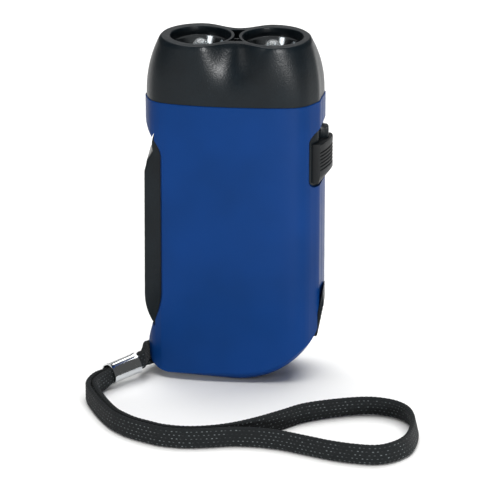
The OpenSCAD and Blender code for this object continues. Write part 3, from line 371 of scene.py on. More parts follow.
def weaveStrap(s):
    path = smoothRoute(s["route"], s["ringStep"])
    centres = [p.to_3d() for p in path]
    section = bandSection(s)
    points, lay, along = [], [], 0.0
    for i, centre in enumerate(centres):
        along += (centre - centres[i - 1]).length if i else 0
        tangent = (centres[min(i + 1, len(centres) - 1)] - centres[max(i - 1, 0)]).normalized()
        wide = Vector((-path[i][4], 1 - path[i][3], path[i][3]))
        wide = (wide - wide.dot(tangent) * tangent).normalized()
        thick = tangent.cross(wide)
        loop = s["scallop"] * math.cos(math.tau * along / weave["pitch"])
        # narrow in the crimp and gathered from there to the bar
        free = 0
        if centre.y < crimpAt.y:
            free = min(max(((centre - crimpAt).length - s["opensAt"]) / s["opensOver"], 0), 1)
        full = (s["squeezed"] + (s["wide"] - s["squeezed"]) * free * free * (3 - 2 * free)) / s["wide"]
        for x, y in section:
            reach = x * full + loop * (x / s["wide"] * 2) ** 5
            points.append((centre + reach * wide + y * thick) * mm)
            lay.append((along, x, 0))
    n = len(section)
    faces = []
    for i in range(len(centres) - 1):
        for k in range(n):
            a, b = i * n + k, i * n + (k + 1) % n
            faces.append((a, a + n, b + n, b))
    faces.append(list(range(n)))
    faces.append(list(range(len(points) - 1, len(points) - n - 1, -1)))
    mesh = bpy.data.meshes.new("wristStrap")
    mesh.from_pydata(points, [], faces)
    mesh.validate()
    attribute = mesh.attributes.new("lay", "FLOAT_VECTOR", "POINT")
    for value, place in zip(attribute.data, lay):
        value.vector = place
    band = bpy.data.objects.new("wristStrap", mesh)
    bpy.context.scene.collection.objects.link(band)
    return band, [c * mm for c in centres], along * mm


strapBand, strapPath, strapLength = weaveStrap(strap)
print(f"strap woven, {strapLength:.4f} m")


# modelling helpers, all sizes in mm

def only(obj):
    bpy.ops.object.select_all(action="DESELECT")
    obj.select_set(True)
    bpy.context.view_layer.objects.active = obj


def settle(name):
    obj = bpy.context.object
    obj.name = name
    obj.data.name = name
    bpy.ops.object.transform_apply(location=True, rotation=True, scale=True)
    return obj


def outward(obj):
    only(obj)
    bpy.ops.object.mode_set(mode="EDIT")
    bpy.ops.mesh.select_all(action="SELECT")
    bpy.ops.mesh.remove_doubles(threshold=0.001 * mm)
    bpy.ops.mesh.normals_make_consistent(inside=False)
    bpy.ops.object.mode_set(mode="OBJECT")
    return obj


def arc(centre, radius, start, end, steps):
    turns = [math.radians(start + (end - start) * i / steps) for i in range(steps + 1)]
    return [(centre[0] + radius * math.cos(a), centre[1] + radius * math.sin(a)) for a in turns]


def ringOf(name, points, fill="NGON"):
    # a circle, with its points moved to their places
    bpy.ops.object.select_all(action="DESELECT")
    bpy.ops.mesh.primitive_circle_add(vertices=len(points), radius=mm, fill_type=fill)
    obj = settle(name)
    for vertex, place in zip(obj.data.vertices, points):
        vertex.co = Vector(place) * mm
    return obj


def prism(name, outline, near, far, upright=False):
    # an outline in X and Z pulled along Y, or one in X and Y pulled up
    obj = ringOf(name, [(a, b, near) if upright else (a, near, b) for a, b in outline])
    way = Vector((0, 0, 1) if upright else (0, 1, 0))
    bpy.ops.object.mode_set(mode="EDIT")
    bpy.ops.mesh.select_all(action="SELECT")
    bpy.ops.mesh.extrude_region_move(TRANSFORM_OT_translate={"value": way * (far - near) * mm})
    bpy.ops.object.mode_set(mode="OBJECT")
    return outward(obj)


def block(name, low, high):
    low, high = Vector(low), Vector(high)
    bpy.ops.object.select_all(action="DESELECT")
    bpy.ops.mesh.primitive_cube_add(size=1, location=(low + high) / 2 * mm, scale=(high - low) * mm)
    return settle(name)


def rod(name, place, radius, near, far, sides=48):
    bpy.ops.object.select_all(action="DESELECT")
    bpy.ops.mesh.primitive_cylinder_add(
        vertices=sides, radius=radius * mm, depth=(far - near) * mm,
        location=Vector((place[0], (near + far) / 2, place[1])) * mm, rotation=(math.pi / 2, 0, 0))
    return settle(name)


def lathe(name, profile, middle=(0, 0), steps=72):
    # radius and height pairs, spun about an upright axis
    obj = ringOf(name, [(middle[0] + radius, middle[1], height) for radius, height in profile], "NOTHING")
    bpy.ops.object.mode_set(mode="EDIT")
    bpy.ops.mesh.select_all(action="SELECT")
    centre = (middle[0] * mm, middle[1] * mm, 0)
    bpy.ops.mesh.spin(steps=steps, angle=math.tau, center=centre, axis=(0, 0, 1))
    bpy.ops.object.mode_set(mode="OBJECT")
    return outward(obj)


def joined(name, objs):
    only(objs[0])
    for obj in objs:
        obj.select_set(True)
    bpy.ops.object.join()
    objs[0].name = name
    return objs[0]


def carve(obj, tool, operation="DIFFERENCE"):
    only(obj)
    cut = obj.modifiers.new("carve", "BOOLEAN")
    cut.operation = operation
    cut.solver = "MANIFOLD"
    cut.object = tool
    bpy.ops.object.modifier_apply(modifier=cut.name)
    bpy.data.objects.remove(tool)
    return obj


def soften(obj, width, segments=2, angle=50):
    only(obj)
    edge = obj.modifiers.new("soften", "BEVEL")
    edge.width = width * mm
    edge.segments = segments
    edge.limit_method = "ANGLE"
    edge.angle_limit = math.radians(angle)
    bpy.ops.object.modifier_apply(modifier=edge.name)
    return obj


def twin(obj, name):
    only(obj)
    bpy.ops.object.duplicate()
    copy = bpy.context.object
    copy.name = name
    copy.data.name = name
    return copy


def finishPiece(obj, material, slot, body, *nodes, smooth=35):
    only(obj)
    bpy.ops.object.shade_smooth_by_angle(angle=math.radians(smooth))
    obj.data.materials.clear()
    obj.data.materials.append(material)
    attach(obj, body)
    if nodes:
        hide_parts(*nodes)
    return obj


finishPiece(strapBand, webbing, "strap_webbing", "casing", "strap_band", smooth=60)


# crimp: sheet metal rolled round the two strands

crimp = {
    "direction": (-6.8, -6.4, -1),
    "across": (0, 0.4, 0.6),  # which way its width lies, squared up to the direction
    "long": 9.8,  # mm
    "halfWide": 3.05,
    "halfThick": 2.8,
    "corner": 2.3,
    "sheet": 0.45,
    "flare": 0.18,  # mm that the mouths open out
    "mouth": [(0, 1), (0.5, 0.35), (1.3, 0)],  # mm from the end, and the share of the flare there
    "seam": 0.35,  # mm wide gap where the sheet's edges meet
    "edge": 0.12,
}


def crimpOutline(s, grow):
    a, b, r = s["halfWide"] + grow, s["halfThick"] + grow, s["corner"]
    corners = [(a - r, b - r, 0), (r - a, b - r, 90), (r - a, r - b, 180), (a - r, r - b, 270)]
    return [p for x, y, start in corners for p in arc((x, y), r, start, start + 90, 8)]


def rollCrimp(s):
    half = s["long"] / 2
    stations = [(at - half, s["flare"] * share) for at, share in s["mouth"]]
    stations += [(-height, grow) for height, grow in reversed(stations)]
    rings = [[(x, y, height) for x, y in crimpOutline(s, grow)] for height, grow in stations]
    count = len(rings[0])
    sleeve = ringOf("strapCrimp", rings[0], "NOTHING")
    for k, ring in enumerate(rings[1:]):
        bpy.ops.object.mode_set(mode="EDIT")
        bpy.ops.mesh.select_all(action="DESELECT")
        bpy.ops.object.mode_set(mode="OBJECT")
        for vertex in sleeve.data.vertices[k * count:]:
            vertex.select = True
        bpy.ops.object.mode_set(mode="EDIT")
        bpy.ops.mesh.select_mode(type="EDGE")
        bpy.ops.mesh.select_mode(type="VERT")
        bpy.ops.mesh.extrude_edges_move(TRANSFORM_OT_translate={"value": (0, 0, mm)})
        bpy.ops.object.mode_set(mode="OBJECT")
        for vertex, place in zip(sleeve.data.vertices[(k + 1) * count:], ring):
            vertex.co = Vector(place) * mm
    outward(sleeve)
    wall = sleeve.modifiers.new("sheet", "SOLIDIFY")
    wall.thickness = s["sheet"] * mm
    wall.offset = -1
    only(sleeve)
    bpy.ops.object.modifier_apply(modifier=wall.name)
    gap = s["seam"] / 2
    carve(sleeve, block("seamGap", (-gap, 0, -half - 1), (gap, s["halfThick"] + 1, half + 1)))
    soften(sleeve, s["edge"])
    ahead = Vector(s["direction"]).normalized()
    wide = Vector(s["across"])
    wide = (wide - wide.dot(ahead) * ahead).normalized()
    thick = ahead.cross(wide)
    place = Matrix((wide, thick, ahead)).transposed().to_4x4()
    place.translation = crimpAt * mm
    sleeve.data.transform(place)
    return sleeve


strapCrimp = finishPiece(rollCrimp(crimp), chromePlate, "crimp_chrome", "casing", "strap_crimp")
print("strap and crimp in place")


# casing, two half shells that meet on the middle plane

shellLow, shellHigh = (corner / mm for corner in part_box("front_shell"))
halfWidth = shellHigh.x
halfDepth = -shellLow.y
seamZ = shellHigh.z

casing = {
    "wall": 1.8,  # mm
    "edgeIn": 4.6,  # edge rounding seen from the front
    "edgeBack": 7.3,  # edge rounding along the depth
    "soleRadius": 25,  # large lower right corner
    "footCut": 0.45,
    "heelRadius": 7.3,  # small lower left corner
    "heelZ": 8.2,
    "gripIn": 4.6,  # how far the lever side is drawn in
    "leftOut": 0.7,  # how much further the lever side stands out than the right side
    "shoulderTop": 79.8,
    "shoulderRun": 11.3,
    "heelStart": 27,
    "heelOut": 3.8,
    "rimSoft": 0.22,  # rounding of the seam edges
    "postShort": 0.6,  # how far the posts stop short of the face, and of the side
    "postTrim": 0.7,
    "bow": 11.7,  # half depth in the middle, where the faces are fullest
    "spare": 0.3,  # how far the raw form stands past the bow before the section trims it
    "spareTop": 8,
    "heights": (-10, 200),  # past both ends of the casing
    # section from above, left to right: X in mm and the depth there; the front is creased on its right side
    "leftSection": [(-26.7, 0), (-26.6, 1.2), (-26.3, 2.6), (-25.6, 4.6), (-24.6, 6.4), (-23.5, 7.5),
                    (-21.8, 8.6), (-19, 9.5), (-15.5, 10.2), (-12, 10.75), (-8, 11.25), (-3, 11.6),
                    (0, 11.7), (6, 11.7), (10, 11.6), (13, 11.4)],
    "frontCrease": [(15.5, 11.15), (17.7, 10.7), (19.4, 10.05), (20.7, 9.15), (21.85, 7.9), (22.85, 6.4),
                    (23.75, 5.05), (24.4, 3.9), (24.6, 3.4), (24.95, 0)],
    "rearCorner": [(16, 11.1), (19.3, 10.7), (22, 10), (23.8, 9), (25, 7.7), (25.6, 6.4), (25.65, 5.6),
                   (25.4, 3), (24.95, 0)],
}
frontSection = casing["leftSection"] + casing["frontCrease"]
rearSection = casing["leftSection"] + casing["rearCorner"]


def ovalSection(inset):
    # the whole section, drawn in
    wide, deep = 1 - inset / halfWidth, 1 - inset / casing["bow"]
    front = [(x * wide, -y * deep) for x, y in frontSection]
    return front + [(x * wide, y * deep) for x, y in reversed(rearSection[1:-1])]


def ease(t):
    return (1 - math.cos(math.pi * min(max(t, 0), 1))) / 2


def leftX(z):
    c = casing
    grip = c["gripIn"] * ease((c["shoulderTop"] - z) / c["shoulderRun"])
    heel = c["heelOut"] * ease((c["heelStart"] - z) / (c["heelStart"] - c["heelZ"]))
    return -halfWidth - c["leftOut"] + grip - heel


def spread(start, end, steps):
    return [start + (end - start) * i / steps for i in range(steps + 1)]


def casingOutline(top):
    c = casing
    sole = (halfWidth - c["soleRadius"], c["soleRadius"] - c["footCut"])
    heel = (leftX(c["heelZ"]) + c["heelRadius"], c["heelZ"])
    dx, dz = sole[0] - heel[0], sole[1] - heel[1]
    turned = math.acos((c["soleRadius"] - c["heelRadius"]) / math.hypot(dx, dz))
    lean = math.degrees(math.atan2(dx, dz) - turned)  # slope of the straight underside between the corners
    shoulderEnd = c["shoulderTop"] - c["shoulderRun"]
    heights = [top] + spread(c["shoulderTop"], shoulderEnd, 14)
    heights += spread(shoulderEnd, c["heelStart"], 5)[1:] + spread(c["heelStart"], c["heelZ"], 12)[1:]
    return ([(leftX(z), z) for z in heights]
            + arc(heel, c["heelRadius"], 180, 270 - lean, 12)[1:]
            + arc(sole, c["soleRadius"], 270 - lean, 360, 32)
            + [(halfWidth, top)])


def insetOutline(points, inset):
    moved = []
    for i, (x, z) in enumerate(points):
        if i in (0, len(points) - 1):
            moved.append((x - math.copysign(inset, x), z))
        else:
            along = Vector(points[i + 1]) - Vector(points[i - 1])
            along.normalize()
            moved.append((x - inset * along.y, z + inset * along.x))
    return moved


def chooseFaces(obj, test):
    only(obj)
    bpy.ops.object.mode_set(mode="EDIT")
    bpy.ops.mesh.select_mode(type="FACE")
    bpy.ops.mesh.select_all(action="DESELECT")
    bpy.ops.object.mode_set(mode="OBJECT")
    for face in obj.data.polygons:
        face.select = test(face)
    bpy.ops.object.mode_set(mode="EDIT")


def halfForm(name, side, inset=0.0, over=0.0):
    # the outline pulled to the face, its rim rolled over, cut level at the seam and bowed across
    c = casing
    deep = c["bow"] + c["spare"] - inset
    roll = c["edgeIn"] - inset
    stretch = (c["edgeBack"] - inset) / roll
    flat = deep - roll * stretch
    obj = prism(name, insetOutline(casingOutline(seamZ + c["spareTop"]), inset), over, -flat - roll)
    chooseFaces(obj, lambda face: face.normal.y < -0.9)
    bpy.ops.mesh.region_to_loop()
    bpy.ops.mesh.bevel(offset=roll * mm, segments=14, profile=0.5, affect="EDGES")
    bpy.ops.mesh.select_all(action="SELECT")
    level = (0, 0, (seamZ + over) * mm)
    bpy.ops.mesh.bisect(plane_co=level, plane_no=(0, 0, 1), use_fill=True, clear_outer=True)
    bpy.ops.object.mode_set(mode="OBJECT")
    for vertex in obj.data.vertices:
        past = -vertex.co.y - flat * mm
        if past > 0:
            vertex.co.y = -flat * mm - past * stretch
        vertex.co.y *= -side
        vertex.co.z = max(vertex.co.z, inset * mm)
    outward(obj)
    return carve(obj, prism("bowed", ovalSection(inset), *c["heights"], True), "INTERSECT")


pivot = (-17, 72)  # mm, X and Z of the lever pin
driveAxle = (0.998, 50.551)
rotorAxle = (6.983, 34.106)
strapBarAt = (-20.597, 5.457)
clear = 40  # mm from the middle plane, past both faces of the casing

leverSlot = {
    "half": 7.35,  # mm, half its width
    "low": 15.7,
    "high": 73.6,
    "inner": -16.7,  # X where it ends inside
    "past": 5,  # how far the cut runs out of the casing's side
    "hinge": 7.65,  # radius of the room round the pin
}
strapEye = {
    "radius": 4.5,  # mm
    "half": 4,
    "mouth": 4.8,  # half the width of its mouth
    "mouthIn": 2,
    "lip": 0.5,  # how much narrower the mouth is, above and below
    "out": -60,  # X past the casing's side
}
posts = {
    # X and Z of each in mm, radius and inner end of the post, radius and depth of its hole
    "lever": {"at": [pivot], "post": (3.3, leverSlot["half"]), "hole": (1.52, 9.25)},
    "rotor": {"at": [rotorAxle], "post": (3.4, halfDepth - 2.4), "hole": (2.22, 9.85)},
    "strap": {"at": [strapBarAt], "post": (3.2, strapEye["half"]), "hole": (1.52, 8.25)},
    "drive": {"at": [driveAxle], "post": (2.9, 6), "hole": (1.52, 9.25)},
    "frame": {"at": [(-11.5, 66), (-12.502, 38.051), (19.5, 26.106)], "post": (2.2, 1.4),
              "hole": (0.97, 6.4)},
    "board": {"at": [(11, 50.051), (14.5, 64.551)], "post": (2, 4.6), "hole": (0.97, 7.6)},
    # the screws pass through the rear shell, with their heads sunk in it
    "casing": {"at": [(17.5, 79), (-11, 79.3), (9, 6.2), (-11.95, 8.5)], "post": (2.6, 0.02),
               "hole": (0.97, 6), "pass": (1.1, clear), "sink": (2.05, 6.5)},
}
switchNotch = {
    "x": 21.6,
    "low": 59.7,
    "out": 30,
    "corner": [(2, 0), (1.2, 0.25), (0.6, 0.7), (0.2, 1.3), (0, 2.2)],  # from the lower left, in mm
    "brow": [(0, 14.5), (0.4, 15.5), (1.6, 16.6), (3.1, 17.5), (4.2, 18.5), (4.8, 19.9), (5.2, 21.3)],
}
lockPlate = {
    "at": (24.002, 12.319),  # mm, foot of the plate's outer face
    "tilt": 11,  # degrees from upright
    "long": 14.8,
    "thick": 1.2,
    "wide": 8,
    "travel": 3,
    "play": 0.3,
    "through": 10,  # how far its cuts run out of the wall on either side
    "under": 0.1,  # gap under the plate and over the foot
    "shelf": 1.8,  # wall between plate and foot
    "neckLow": 3,
    "neckHalf": 2,
    "neckRoot": 0.2,  # how far the neck reaches into the plate
    "footLow": 1.5,
    "footHigh": 9,
    "footHalf": 3.6,
    "footThick": 1.2,
    "toe": 0.4,
    "tip": 0.2,  # thickness at the upper end
    "bend": 4.4,  # length that thins out to it
    "serrations": 3,
    "pitch": 1.4,
    "notch": 0.45,
    "notchEnd": 0.6,
    "edge": 0.14,
    "armAt": -4.2,  # X from the plate's foot
    "arm": [(-2, 13.5), (0.6, 16.1), (1.6, 19.1), (0.4, 19.1), (-2.4, 15.5)],  # X from there, and Z
    "tooth": (-0.2, 1.8),  # X from the lever pin
    "toothTop": 18,
    "barHalf": 2.5,
}


def notchOutline(gap):
    n = switchNotch
    low = [(n["x"] + x + gap, n["low"] + z + gap) for x, z in n["corner"]]
    high = [(n["x"] + x + gap, n["low"] + z - gap) for x, z in n["brow"]]
    return [(n["out"], low[0][1])] + low + high + [(n["out"], high[-1][1])]


def tilted(points):
    # from the lock plate's own upright to the tilted corner that it lies on
    lean = math.radians(lockPlate["tilt"])
    x0, z0 = lockPlate["at"]
    return [(x0 + x * math.cos(lean) + z * math.sin(lean), z0 - x * math.sin(lean) + z * math.cos(lean))
            for x, z in points]


def rectangle(x0, z0, x1, z1):
    return [(x0, z0), (x1, z0), (x1, z1), (x0, z1)]


def mouldShell(name, side):
    # side is -1 for the front shell and 1 for the rear one
    c = casing

    def pegs(kind, radius, near, far):
        ends = sorted((side * near, side * far))
        return [rod("peg", place, radius, *ends) for place in posts[kind]["at"]]

    shell = carve(halfForm(name, side), halfForm("room", side, c["wall"], 1))
    chooseFaces(shell, lambda face: face.normal.z > 0.99 and face.center.z > 0.9 * seamZ * mm
                or abs(face.center.y) < 0.01 * mm)
    bpy.ops.mesh.region_to_loop()
    bpy.ops.mesh.bevel(offset=c["rimSoft"] * mm, segments=2, affect="EDGES")
    bpy.ops.object.mode_set(mode="OBJECT")
    kinds = ["lever", "rotor", "strap", "casing"] + (["drive"] if side < 0 else ["frame", "board"])
    stubs = []
    for kind in kinds:
        stubs += pegs(kind, *posts[kind]["post"], halfDepth - c["postShort"])
    carve(shell, carve(joined("stubs", stubs), halfForm("trim", side, c["postTrim"]), "INTERSECT"), "UNION")

    s = leverSlot
    out = -halfWidth - s["past"]
    carve(shell, block("slot", (out, -s["half"], s["low"]), (s["inner"], s["half"], s["high"])))
    carve(shell, rod("hinge", pivot, s["hinge"], -s["half"], s["half"], 96))
    carve(shell, prism("notch", notchOutline(0), -clear, clear))
    k = lockPlate

    def lockCut(word, low, high, inner, outer, half):
        # room for the lock's travel, with play all round
        play = k["play"]
        room = rectangle(inner, low - play, outer, high + k["travel"] + play)
        carve(shell, prism(word, tilted(room), -half - play, half + play))

    floor = -k["thick"] - k["under"]
    far = k["through"]
    lockCut("recess", 0, k["long"], floor, far, k["wide"] / 2)
    lockCut("neckSlot", k["neckLow"], k["footHigh"], -far, 1, k["neckHalf"])
    lockCut("footSeat", k["footLow"], k["footHigh"], -far, floor - k["shelf"], k["footHalf"])
    e = strapEye
    carve(shell, rod("eye", strapBarAt, e["radius"], -e["half"], e["half"]))
    drop = e["radius"] - e["lip"]
    carve(shell, block("eyeMouth", (e["out"], -e["mouth"], strapBarAt[1] - drop),
                       (strapBarAt[0] - e["mouthIn"], e["mouth"], strapBarAt[1] + drop)))
    bores = []
    for kind in kinds:
        fit = "pass" if kind == "casing" and side > 0 else "hole"
        radius, deep = posts[kind][fit]
        bores += pegs(kind, radius, -1, deep)
    carve(shell, joined("bores", bores))
    if side > 0:
        carve(shell, joined("sinks", pegs("casing", *posts["casing"]["sink"], clear)))
    return shell


for word, side in (("front", -1), ("rear", 1)):
    shell = mouldShell(word + "Shell", side)
    finishPiece(shell, bluePlastic, "blue_plastic", "casing", word + "_shell", smooth=19)
print("casing shells moulded")


# lamp head, from the casing's section at the seam to two lobes at the rim

head = {
    "lampX": 10.5,  # mm from the middle to each lamp
    "lobe": 11.7,
    "well": 8.8,
    "dip": 4.2,  # how deep the waist is between the lobes
    "worn": 0.35,  # how much lower the worn rim lies
    "rim": 0.45,  # rounding of the top edge
    "belly": 0.06,  # share that the faces swell half way up
    "sideCurve": 2.3,  # how late the sides turn into the lobes on the way up
    "faceCurve": 1.5,  # the same for the faces
    "wellRim": 0.4,
    "step": 0.3,  # how far it lies inside the casing at the seam
    "ringWall": 1,
    "valley": 3,
    "valleyIn": 1.3,  # how far the valley runs past the wells' walls
    "valleyWall": 2,
    "rib": (0.4, 1),  # half its thickness, and how far it stays below the rim
    "lip": 3,
    "lipWall": 1.2,
    "lipGap": 0.2,
    "rings": 14,
    "around": 64,  # points along each face
    "rightIn": 0.7,  # how far the rim's right end is drawn in
}
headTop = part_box("lamp_head")[1].z / mm - head["worn"]
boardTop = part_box("led_board")[1].z / mm


def mix(a, b, t):
    return a + (b - a) * t


def lobeDepth(x):
    h = head
    past = abs(x) - h["lampX"]
    if past > 0:
        return math.sqrt(max(h["lobe"] ** 2 - past ** 2, 0))
    return h["lobe"] - h["dip"] * (1 + math.cos(math.pi * x / h["lampX"])) / 2


def alongLine(rows, share):
    # the point at a share of the line's length
    points = [Vector(row) for row in rows]
    left = share * sum((b - a).length for a, b in zip(points, points[1:]))
    for a, b in zip(points, points[1:]):
        run = (b - a).length
        if left <= run:
            return a.lerp(b, left / run)
        left -= run
    return points[-1]


def headRing(s, inset):
    # s runs from 0 at the seam to 1 at the rim
    h = head
    top = h["lampX"] + h["lobe"]
    wide, thin = 1 - h["step"] / halfWidth, 1 - h["step"] / casing["bow"]
    swell = 1 + h["belly"] * math.sin(math.pi * s)
    n = h["around"]
    ring = []
    for rows, side, order in ((frontSection, -1, range(n + 1)), (rearSection, 1, range(n - 1, 0, -1))):
        for i in order:
            t = -math.cos(math.pi * i / n)
            base = alongLine(rows, i / n)
            x = mix(base.x * wide, t * top - h["rightIn"] * max(t, 0) ** 2, s ** h["sideCurve"])
            y = mix(base.y * thin, lobeDepth(t * top), s ** h["faceCurve"]) * swell
            ring.append((x * (1 - inset / top), side * y * (1 - inset / h["lobe"])))
    return ring


def riseRings(name, rings):
    # each ring is pulled up from the last one and then shaped
    obj = ringOf(name, [(x, y, rings[0][0]) for x, y in rings[0][1]])
    for (low, under), (high, ring) in zip(rings, rings[1:]):
        ends = [face for face in obj.data.polygons if len(face.vertices) == len(ring)]
        top = max(ends, key=lambda face: face.center.z).index
        chooseFaces(obj, lambda face: face.index == top)
        bpy.ops.mesh.extrude_region_move(TRANSFORM_OT_translate={"value": (0, 0, (high - low) * mm)})
        bpy.ops.object.mode_set(mode="OBJECT")
        pulled = [vertex for vertex in obj.data.vertices if vertex.select]
        for (a, b), (x, y) in zip(under, ring):
            old = Vector((a, b, high)) * mm
            nearest = min(pulled, key=lambda vertex: (vertex.co - old).length)
            pulled.remove(nearest)
            nearest.co = Vector((x, y, high)) * mm
    return outward(obj)


def mouldHead():
    h = head
    tall = headTop - seamZ
    rings = [(seamZ + tall * s, headRing(s, 0))
             for s in spread(0, (tall - h["rim"]) / tall, h["rings"])]
    for turn in (22.5, 45, 67.5, 90):
        a = math.radians(turn)
        rings.append((headTop - h["rim"] * (1 - math.sin(a)), headRing(1, h["rim"] * (1 - math.cos(a)))))
    obj = riseRings("lampHead", rings)
    lip = casing["wall"] + h["lipGap"]
    carve(obj, prism("lip", ovalSection(lip), seamZ - h["lip"], seamZ + 1, True), "UNION")
    carve(obj, prism("inside", ovalSection(lip + h["lipWall"]), seamZ - h["lip"] - 1, boardTop, True))
    soft = h["wellRim"]
    edge = h["well"] + soft
    mouth = arc((edge, headTop - soft), soft, 180, 90, 6)
    well = [(0, boardTop - 1), (h["well"], boardTop - 1)] + mouth + [(edge, headTop + 3), (0, headTop + 3)]
    for side in (-1, 1):
        carve(obj, lathe("wellCutter", well, (side * h["lampX"], 0)))
    half = h["lampX"] - h["well"] + h["valleyIn"]
    reach = h["lobe"] - h["dip"] - h["valleyWall"]
    valley = block("valley", (-half, -reach, headTop - h["valley"]), (half, reach, headTop + 1))
    wall = h["well"] + h["ringWall"]
    low, high = 50, 150  # heights past both ends of the head
    for side in (-1, 1):
        ring = [(0, low), (wall, low), (wall, high), (0, high)]
        carve(valley, lathe("ringWall", ring, (side * h["lampX"], 0)))
    thin, drop = h["rib"]
    carve(valley, block("rib", (-half, -thin, low), (half, thin, headTop - drop)))
    carve(obj, valley)
    return obj


finishPiece(mouldHead(), blackPlastic, "black_plastic", "casing", "lamp_head")
print("lamp head moulded")


# lamps: mirror bowl, clear lens and the lead frame that shows through it

lamp = {
    "bowlDrop": 2.3,  # mm below the rim
    "bowlWall": 0.9,
    "bowlHole": 3.05,
    "bowlRim": 7.5,
    "bowlTurn": (0.12, 0.15),  # out and up, where the mirror turns into the lip
    "soft": 0.1,  # small roundings, and the gap round the bowl
    "ledRadius": 2.5,
    "ledTall": 8.7,
    "flange": (2.9, 1.05),  # radius and height
    "lift": 0.02,
    "leadsLow": 0.3,  # mm above the board
    "anvil": (-0.2, 0.9, 0.25, 4.2),  # X from and to, half its depth, height
    "post": (-1.1, -0.55, 0.22, 4.6),
    "leadEdge": 0.08,
    "cup": [(0, 4.1), (0.45, 4.1), (0.75, 5), (0.62, 5), (0.3, 4.5), (0, 4.5)],  # radius and height
    "cupX": 0.3,
}


def spinBowl(name, x):
    s = lamp
    wall, soft = s["bowlWall"], s["soft"]
    outer = head["well"] - soft
    top = headTop - s["bowlDrop"]
    out, up = s["bowlTurn"]
    inside = [(mix(s["bowlHole"], s["bowlRim"], math.sqrt(t)), mix(boardTop, top - up, t))
              for t in spread(0, 1, 18)]
    lip = [(s["bowlRim"] + out, top), (outer - soft, top), (outer, top - soft), (outer, top - wall)]
    under = [(r + wall, max(z - wall, boardTop)) for r, z in reversed(inside[1:-2])]
    return lathe(name, inside + lip + under + [(s["bowlHole"] + wall, boardTop)], (x, 0), 96)


def spinLens(name, x):
    s = lamp
    r, soft = s["ledRadius"], s["soft"]
    wide, tall = s["flange"]
    low, high = boardTop + s["lift"], boardTop + tall
    foot = [(0, low), (wide, low), (wide, high - soft), (wide - soft, high), (r, high)]
    return lathe(name, foot + arc((0, boardTop + s["ledTall"] - r), r, 0, 90, 14), (x, 0))


def stampLeads(name, x):
    # anvil with its little cup, and the thinner post beside it
    s = lamp
    low = boardTop + s["leadsLow"]
    stamped = []
    for word in ("anvil", "post"):
        left, right, half, tall = s[word]
        blade = block(word, (x + left, -half, low), (x + right, half, low + tall))
        stamped.append(soften(blade, s["leadEdge"]))
    stamped.append(lathe("cup", [(r, low + z) for r, z in s["cup"]], (x + s["cupX"], 0), 32))
    return joined(name, stamped)


steelPlain = platedMetal("drawnSteel", "#B7BABD", 0.3, 0.3, 0.01)
for side, word in ((-1, "left"), (1, "right")):
    x = side * head["lampX"]
    finishPiece(spinBowl(word + "Bowl", x), mirrorFilm, "reflector_chrome", "casing", "reflector_" + word)
    finishPiece(spinLens(word + "Lens", x), lampEpoxy, "led_lens", "casing", "led_" + word)
    finishPiece(stampLeads(word + "Leads", x), steelPlain, "steel", "casing")
print("lamps made")


# squeeze lever: a channel pressed shut by the hand, hung on the pin

lever = {
    "outer": -26.63,  # mm, X of the outer face
    "low": -26.8,  # X where it starts to bend in
    "bowFrom": 26,
    "bowCurve": 2.2,  # how late it bends
    "headRadius": 7.4,
    "headTurn": (100, 195),  # degrees, where the round of the head starts and ends
    "brow": [(0.75, 4.8), (0.3, 7.2), (0.05, 7.9), (0, 8.6)],  # in from the outer face, down from the pin
    "half": 7,
    "channel": 5.5,
    "skin": 2,
    "tipZ": 16.3,
    "tipIn": 0.3,  # how far the tip lies inside the casing's side
    "ear": 4.1,  # radius round the pin, inside
    "earTurn": (-50, 60),
    "flange": -15.5,  # X where the flanges end inside
    "flangeLow": 6,  # up from the tip, and down from the pin
    "flangeHigh": 8,
    "toe": (3, 0.7),  # from the tip to where the flanges begin
    "tab": (19.2, 22.2),  # heights of the tab that the lock holds
    "tabEnd": 4.5,  # X from the pin
    "tabHalf": 4,
    "catch": (-0.6, 2.8, 2.9),  # hole in the tab: X from and to, from the pin, and half its width
    "pinHole": 1.55,
    "rivets": [(-1.5, -8), (-1.5, -12)],  # X and Z from the pin
    "rivetHole": 1.02,
    "edge": 0.55,
}
tip = (leftX(lever["tipZ"]) + lever["tipIn"], lever["tipZ"])


def leverFace(inset):
    s = lever
    bow = [(mix(s["low"], tip[0], t ** s["bowCurve"]) + inset, mix(s["bowFrom"], tip[1], t))
           for t in spread(0, 1, 10)]
    brow = [(s["outer"] + x + inset, pivot[1] - drop) for x, drop in s["brow"]]
    return arc(pivot, s["headRadius"] - inset, *s["headTurn"], 20) + brow + bow


def mouldLever():
    s = lever
    toe = (tip[0] + s["toe"][0], tip[1] + s["toe"][1])
    inside = [toe, (s["flange"], tip[1] + s["flangeLow"]), (s["flange"], pivot[1] - s["flangeHigh"])]
    flank = leverFace(0) + inside + arc(pivot, s["ear"], *s["earTurn"], 12)
    obj = soften(prism("squeezeLever", flank, -s["half"], s["half"]), s["edge"], 3)
    channel = leverFace(s["skin"]) + [(0, tip[1] - 1), (0, pivot[1] + s["headRadius"] + 1)]
    carve(obj, prism("channel", channel, -s["channel"], s["channel"]))
    low, high = s["tab"]
    half = s["tabHalf"]
    carve(obj, block("tab", (tip[0] - 1, -half, low), (pivot[0] + s["tabEnd"], half, high)), "UNION")
    left, right, half = s["catch"]
    carve(obj, block("catch", (pivot[0] + left, -half, 0), (pivot[0] + right, half, high + 1)))
    carve(obj, rod("pinHole", pivot, s["pinHole"], -clear, clear))
    for x, z in s["rivets"]:
        carve(obj, rod("rivetHole", (pivot[0] + x, pivot[1] + z), s["rivetHole"], -clear, 0))
    return obj


finishPiece(mouldLever(), blackPlastic, "black_plastic", "lever", "squeeze_lever")
print("lever moulded")


# switch: a bezel in the notch and a ribbed knob that slides on it

